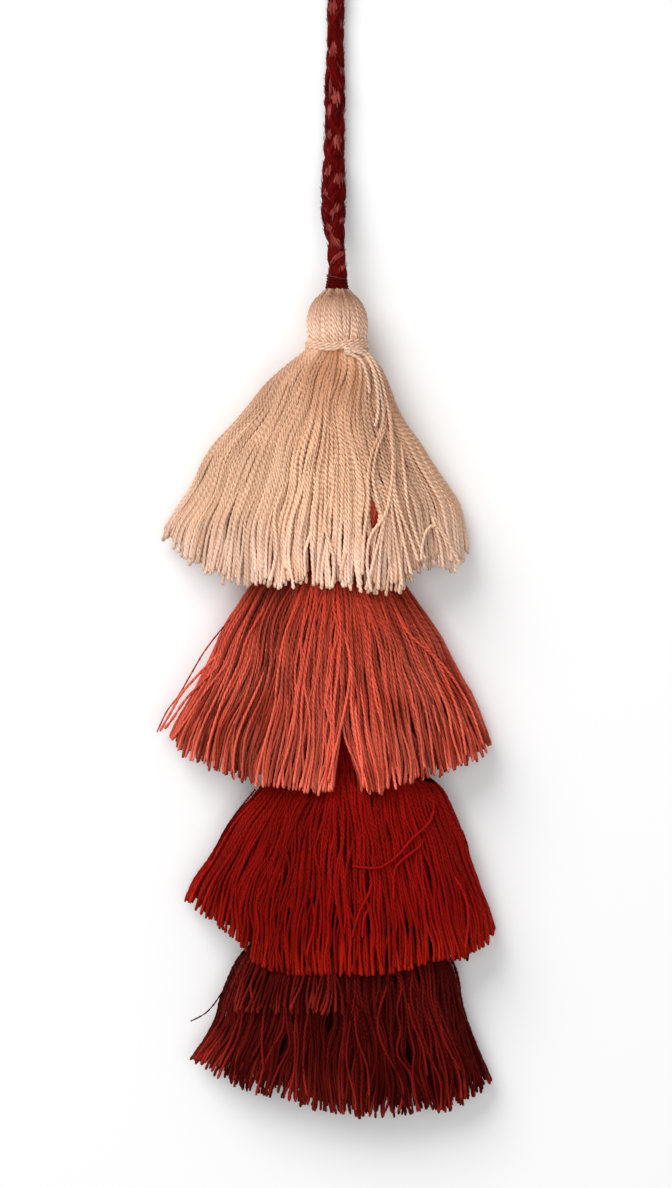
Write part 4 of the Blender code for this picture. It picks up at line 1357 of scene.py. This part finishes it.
# %% Routes of the yarns that went their own way
# Each: its offsets to the side and down from the neck, its lift, tone and thickness.
LOOSE = {
    "tier_peach": (
        (((10.2, 9), (10.8, 16), (11.1, 22), (10.8, 27), (10.2, 31), (9.0, 34), (7.4, 36), (6.3, 38.5),
          (6.0, 43), (6.8, 48.4)), 0.75, 1.0, 1.0),
        (((9.2, 6), (9.4, 12), (8.4, 17), (7.0, 20.5), (6.2, 25), (6.2, 31), (5.4, 37),
          (5.0, 45)), 0.45, 0.8, 1.0),
        (((10.0, 11), (9.4, 16), (7.8, 20.5), (7.2, 26), (8.2, 31), (9.2, 35), (8.6, 40),
          (8.2, 48)), 0.45, 0.9, 1.0),
        (((10.6, 14), (11.3, 20), (11.4, 27), (12.4, 32), (14.2, 36.5), (16.2, 42.4)), 0.55, 0.9, 1.0),
        (((11.4, 22), (11.2, 28), (12.0, 33), (13.4, 39), (14.8, 45)), 0.6, 1.0, 1.0),
        (((11.2, 26), (10.8, 31), (11.6, 37), (12.4, 42), (13.0, 47.4)), 0.5, 0.7, 1.0),
        (((10.9, 25), (10.2, 31), (8.6, 37), (7.3, 42), (6.2, 46.4)), 0.55, 0.9, 1.0),
        (((12.6, 18), (13.4, 25), (14.2, 32), (16.0, 38), (17.6, 42.0)), 0.4, 0.9, 1.0),
        (((22.4, 43.4), (21.8, 39), (20.6, 36.2), (19.2, 35.2), (17.8, 36.2), (17.0, 39),
          (16.7, 42.2)), 0.6, 0.9, 0.9),
        (((18.4, 32), (19.6, 35.4), (20.6, 39), (21.2, 43.6)), 0.55, 0.8, 1.0),
        (((19.6, 33.5), (21.6, 37.5), (23.6, 41), (24.6, 43.0)), 0.6, 1.0, 1.0),
        (((-10, 26), (-12.4, 33), (-12.0, 40), (-13.4, 46.4)), 0.35, 0.9, 1.0),
        (((-1.5, 28), (-2.4, 35), (-0.6, 42), (-1.0, 47.6)), 0.35, 0.9, 1.0),
    ),
    "tier_coral": (
        (((-19.8, 52), (-23.8, 56.6), (-26.8, 60.6), (-29.4, 65), (-31.8, 69.2), (-34.2, 72.4),
          (-36.2, 76.6)), -0.5, 0.3, 0.6),
        (((-24.0, 61), (-28.4, 65.6), (-31.2, 68.8), (-33.4, 72.6), (-35.6, 76.4)), 0.3, 0.9, 1.0),
        (((-22.6, 62), (-27.4, 66.8), (-30.4, 70.0), (-33.0, 73.8), (-34.6, 75.9)), 0.2, 0.7, 1.0),
        (((-20.5, 61), (-26.6, 68.6), (-29.8, 73.4), (-32.8, 77.6)), 0.3, 0.8, 0.9),
        (((2.8, 62), (2.2, 68), (1.0, 74), (-0.4, 80), (-1.8, 86)), 0.3, 0.9, 1.0),
        (((3.4, 68), (3.9, 74), (4.8, 80), (5.2, 87.2)), 0.1, 1.0, 1.0),
        (((11.4, 52), (14.6, 57), (19.8, 61.6), (23.4, 66), (26.8, 72), (29.2, 79)), 0.3, 1.0, 1.0),
        (((16.4, 57), (20.6, 63.4), (23.0, 69), (24.8, 75), (25.8, 81)), 0.3, 0.8, 1.0),
        (((-13.4, 50), (-17.6, 57), (-19.6, 63), (-22.8, 70), (-25.4, 78), (-26.0, 82)), 0.3, 0.9, 1.0),
    ),
    "tier_red": (
        (((19.4, 88), (18.8, 93.6), (14.8, 97.6), (12.4, 100.4), (9.8, 102.4), (7.6, 103.2),
          (3.0, 102.8)), 0.6, 1.2, 0.9),
        (((18.0, 96), (16.4, 99), (13.0, 101.6), (11.4, 104), (11.2, 109.6)), 0.5, 1.1, 0.9),
        (((8.4, 110), (6.6, 111), (5.4, 113), (5.0, 117)), 0.5, 1.1, 0.9),
        (((22.0, 103.6), (24.2, 106.4), (25.8, 110), (26.2, 114), (25.6, 119.6)), 0.6, 1.3, 0.9),
        (((7.2, 104), (6.4, 108), (4.4, 112), (3.0, 117)), 0.5, 1.1, 0.9),
        (((-16.4, 88), (-20.4, 93), (-23.2, 97.4), (-25.2, 102)), 0.2, -0.4, 0.6),
        (((23.0, 114), (23.6, 118), (23.6, 122.0)), -0.4, -0.8, 1.0),
        (((25.6, 114), (26.2, 118), (26.0, 122.2)), -0.4, -0.9, 1.0),
    ),
    "tier_maroon": (
        (((-20.6, 124), (-23.0, 128.6), (-26.0, 132.6), (-29.4, 134.6)), 0.2, 0.0, 0.55),
        (((-12.6, 126), (-14.4, 132), (-15.0, 138), (-14.6, 144)), 0.4, 1.15, 0.9),
        (((13.8, 128), (15.0, 134), (17.0, 139), (18.0, 145)), 0.4, 1.1, 0.9),
        (((20.4, 132), (21.4, 138), (24.6, 144)), 0.4, 1.15, 0.9),
        (((3.4, 130), (4.0, 137), (6.0, 143), (6.4, 149)), 0.4, 1.1, 0.9),
    ),
}
# Yarns cut too short: how many, from where to where along the hem, and how long they are at most.
SHORT_LAYERS = {"tier_maroon": (40, (0.50, 0.90), 26.2)}
# Coral yarns that show through the parting on the peach skirt, like the routes above.
GLIMPSE_SIDES = (4.9, 5.5, 6.1, 6.7, 7.3)
GLIMPSES = tuple(
    ((side + 1.4, 30.0), (side + 0.6, 34.0), (side, 38.0), (side - 0.5, 44.0)) for side in GLIMPSE_SIDES
)

# %% Build the four skirts
for skirt, below in zip(SKIRTS, (*SKIRTS[1:], None)):
    build_skirt(
        skirt, below.root if below else None, LOOSE[skirt.node], SHORT_LAYERS.get(skirt.node),
        GLIMPSES if skirt.node == "tier_peach" else (),
    )

# %% [markdown]
# ## The neck binding
#
# A little over three turns of the same yarn are pulled tight round the neck, sag a little in front and
# end in a small knot. Four free ends fall from the knot over the right shoulder and lie on the skirt.
# The turns are the whipping's helix again, and the ends rest on the peach skirt's own shape.

# %% Wind the binding
BINDING_YARN = 0.47
BINDING_TOP = 1.9
BINDING_FOOT = 0.3
BINDING_TURNS = 3.2
BINDING_REACH = 6.0
BINDING_START = -1.2
BINDING_STEP = 0.5
BINDING_STEPS_A_TURN = 60
BINDING_PITCH = 3.0
BINDING_NARROW = 0.85
BINDING_TONE = 0.8
BINDING_SHARE = 0.5
FRONT_DEPTH = 4
SAG = 0.75
SAG_AT = -1.4
SAG_WIDTH = 2.8

binding = Basket()
wound = helix(
    BINDING_TOP, BINDING_FOOT, BINDING_TURNS, BINDING_REACH, BINDING_START, BINDING_STEPS_A_TURN,
)
line = evenly(wound, BINDING_STEP)
side = line[:, 0] / MM - axis_x
in_front = np.clip((line[:, 2] / MM - CORE_HEIGHT) / FRONT_DEPTH, 0, 1)
line[:, 1] -= SAG * MM * in_front * np.exp(-((side - SAG_AT) / SAG_WIDTH) ** 2)
binding.add(
    line, BINDING_YARN, BINDING_PITCH, ply_section(BINDING_NARROW), tone=BINDING_TONE,
    facing=outward_from_axis(line), shares=BINDING_SHARE,
)

# %% Let the free ends fall, and tie the knot
# Each route is offsets to the side and down from the neck.
FREE_ENDS = (
    ((2.0, -0.1), (3.8, 0.1), (5.2, 0.8), (6.4, 2.2), (7.8, 5.4), (8.8, 9.5), (9.2, 14.0), (8.4, 17.6)),
    ((2.2, 0.4), (4.2, 0.6), (5.8, 1.4), (7.0, 3.6), (7.9, 7.6), (8.2, 12.0), (7.6, 15.6)),
    ((2.4, -0.6), (4.2, -0.4), (5.5, 0.3), (6.9, 1.8), (8.5, 5.0), (9.6, 9.4), (10.6, 15), (10.9, 20)),
    ((2.2, 0.9), (3.6, 1.4), (5.0, 2.6), (6.0, 5.4), (6.5, 9.0)),
)
END_STEP = 0.4
END_LIFT = 0.45
END_THICKNESS = 0.95
END_NARROW = 0.68
END_TONES = (0.5, 0.9)
END_SHARE = 0.55
KNOT_SIDE = 2.1
KNOT_UP = -0.4
KNOT_HEIGHT = 12.9
KNOT_WIDTH = 0.42
KNOT_LENGTH = 0.5
KNOT_RISE = 0.05
KNOT_TURNS = 1.4
KNOT_POINTS = 24
KNOT_LEANS = (0.0, 1.3)
KNOT_NARROW = 0.75
KNOT_TONE = 0.6

peach_shape = Shape(PEACH_ROWS)
for route in FREE_ENDS:
    rows = smooth_route([(side, down, 0.0, 0.0) for side, down in route], END_STEP)
    height = peach_shape.skin_height(rows[:, 0], rows[:, 1] - SKIRTS[0].root) + END_LIFT
    line = evenly(place(rows[:, 0], -rows[:, 1], height), TWIST_PITCH / RINGS_A_TURN)
    binding.add(
        line, BINDING_YARN * END_THICKNESS, TWIST_PITCH, ply_section(END_NARROW),
        tone=rng.uniform(*END_TONES), shares=END_SHARE,
    )
turn = np.linspace(0, 2 * np.pi * KNOT_TURNS, KNOT_POINTS)
for lean in KNOT_LEANS:
    knot_side = KNOT_SIDE + KNOT_WIDTH * np.cos(turn + lean)
    knot_line = place(knot_side, KNOT_UP + KNOT_LENGTH * np.sin(turn), KNOT_HEIGHT + KNOT_RISE * turn)
    binding.add(knot_line, BINDING_YARN, TWIST_PITCH, ply_section(KNOT_NARROW), tone=KNOT_TONE)
# The binding uses the head's yarn, so its colour mixes the head's painted shade and painted light.
binding_piece = binding.weave("neck_binding_yarn", [head_yarn_lit_shaded])
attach(binding_piece, "root")
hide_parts("neck_binding")

# %% [markdown]
# ## The surface and the light
#
# The tassel lies on something plain and white. The main light is broad and soft and comes from the
# upper left, so that the shadow falls to the right and a little down. A second one from near the camera
# and the even light of the world keep the gaps between the yarns from going black.

# %% Lay the surface
FLOOR_SIZE = 2.4
FLOOR_WHITE = 0.89
FLOOR_ROUGHNESS = 0.7
FLOOR_GLOSS = 0.1

bpy.ops.mesh.primitive_plane_add(size=FLOOR_SIZE, location=(0, 0, 0))
floor = bpy.context.object
floor.name = "white_surface"
floor_material = bpy.data.materials.new("white_surface")
floor_material.use_nodes = True
floor_shader = floor_material.node_tree.nodes["Principled BSDF"]
floor_shader.inputs["Base Color"].default_value = (FLOOR_WHITE, FLOOR_WHITE, FLOOR_WHITE, 1)
floor_shader.inputs["Roughness"].default_value = FLOOR_ROUGHNESS
floor_shader.inputs["Specular IOR Level"].default_value = FLOOR_GLOSS
floor.data.materials.append(floor_material)
floor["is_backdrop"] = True

# %% Set up the light
KEY_LEAN = math.radians(50)
KEY_FROM = math.radians(130)
KEY_SIZE = 0.75
KEY_POWER = 8.6
FRONT_LEAN = math.radians(12)
FRONT_FROM = math.radians(-62)
FRONT_SIZE = 1.0
FRONT_POWER = 4.9
LIGHT_DISTANCE = 1.0
WORLD_STRENGTH = 0.32


def area_light(name, lean, turned, size, power):
    """A square light that looks at the middle of the tassel, leaning from straight above."""
    location = Vector((
        math.sin(lean) * math.cos(turned), math.sin(lean) * math.sin(turned), math.cos(lean),
    ))
    data = bpy.data.lights.new(name, "AREA")
    data.size = size
    data.energy = power
    made = bpy.data.objects.new(name, data)
    made.location = location * LIGHT_DISTANCE
    made.rotation_euler = (-location).to_track_quat("-Z", "Y").to_euler()
    bpy.context.collection.objects.link(made)
    print(name, "of", power, "watts")


area_light("key_light", KEY_LEAN, KEY_FROM, KEY_SIZE, KEY_POWER)
area_light("front_light", FRONT_LEAN, FRONT_FROM, FRONT_SIZE, FRONT_POWER)
world = bpy.data.worlds.new("studio")
world.use_nodes = True
world.node_tree.nodes["Background"].inputs["Color"].default_value = (1, 1, 1, 1)
world.node_tree.nodes["Background"].inputs["Strength"].default_value = WORLD_STRENGTH
bpy.context.scene.world = world
bpy.context.scene.view_settings.view_transform = "Standard"

# %% [markdown]
# ## The last measure
#
# The dressed tassel should be about as large as its solids. Only single yarns stand out a little.

# %% Compare the dressed tassel with the solids
dressed_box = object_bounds()
for kind, box in (("solids", solid_box), ("dressed", dressed_box)):
    print(kind, "in millimetres:", [[round(float(x) / MM, 1) for x in corner] for corner in box])
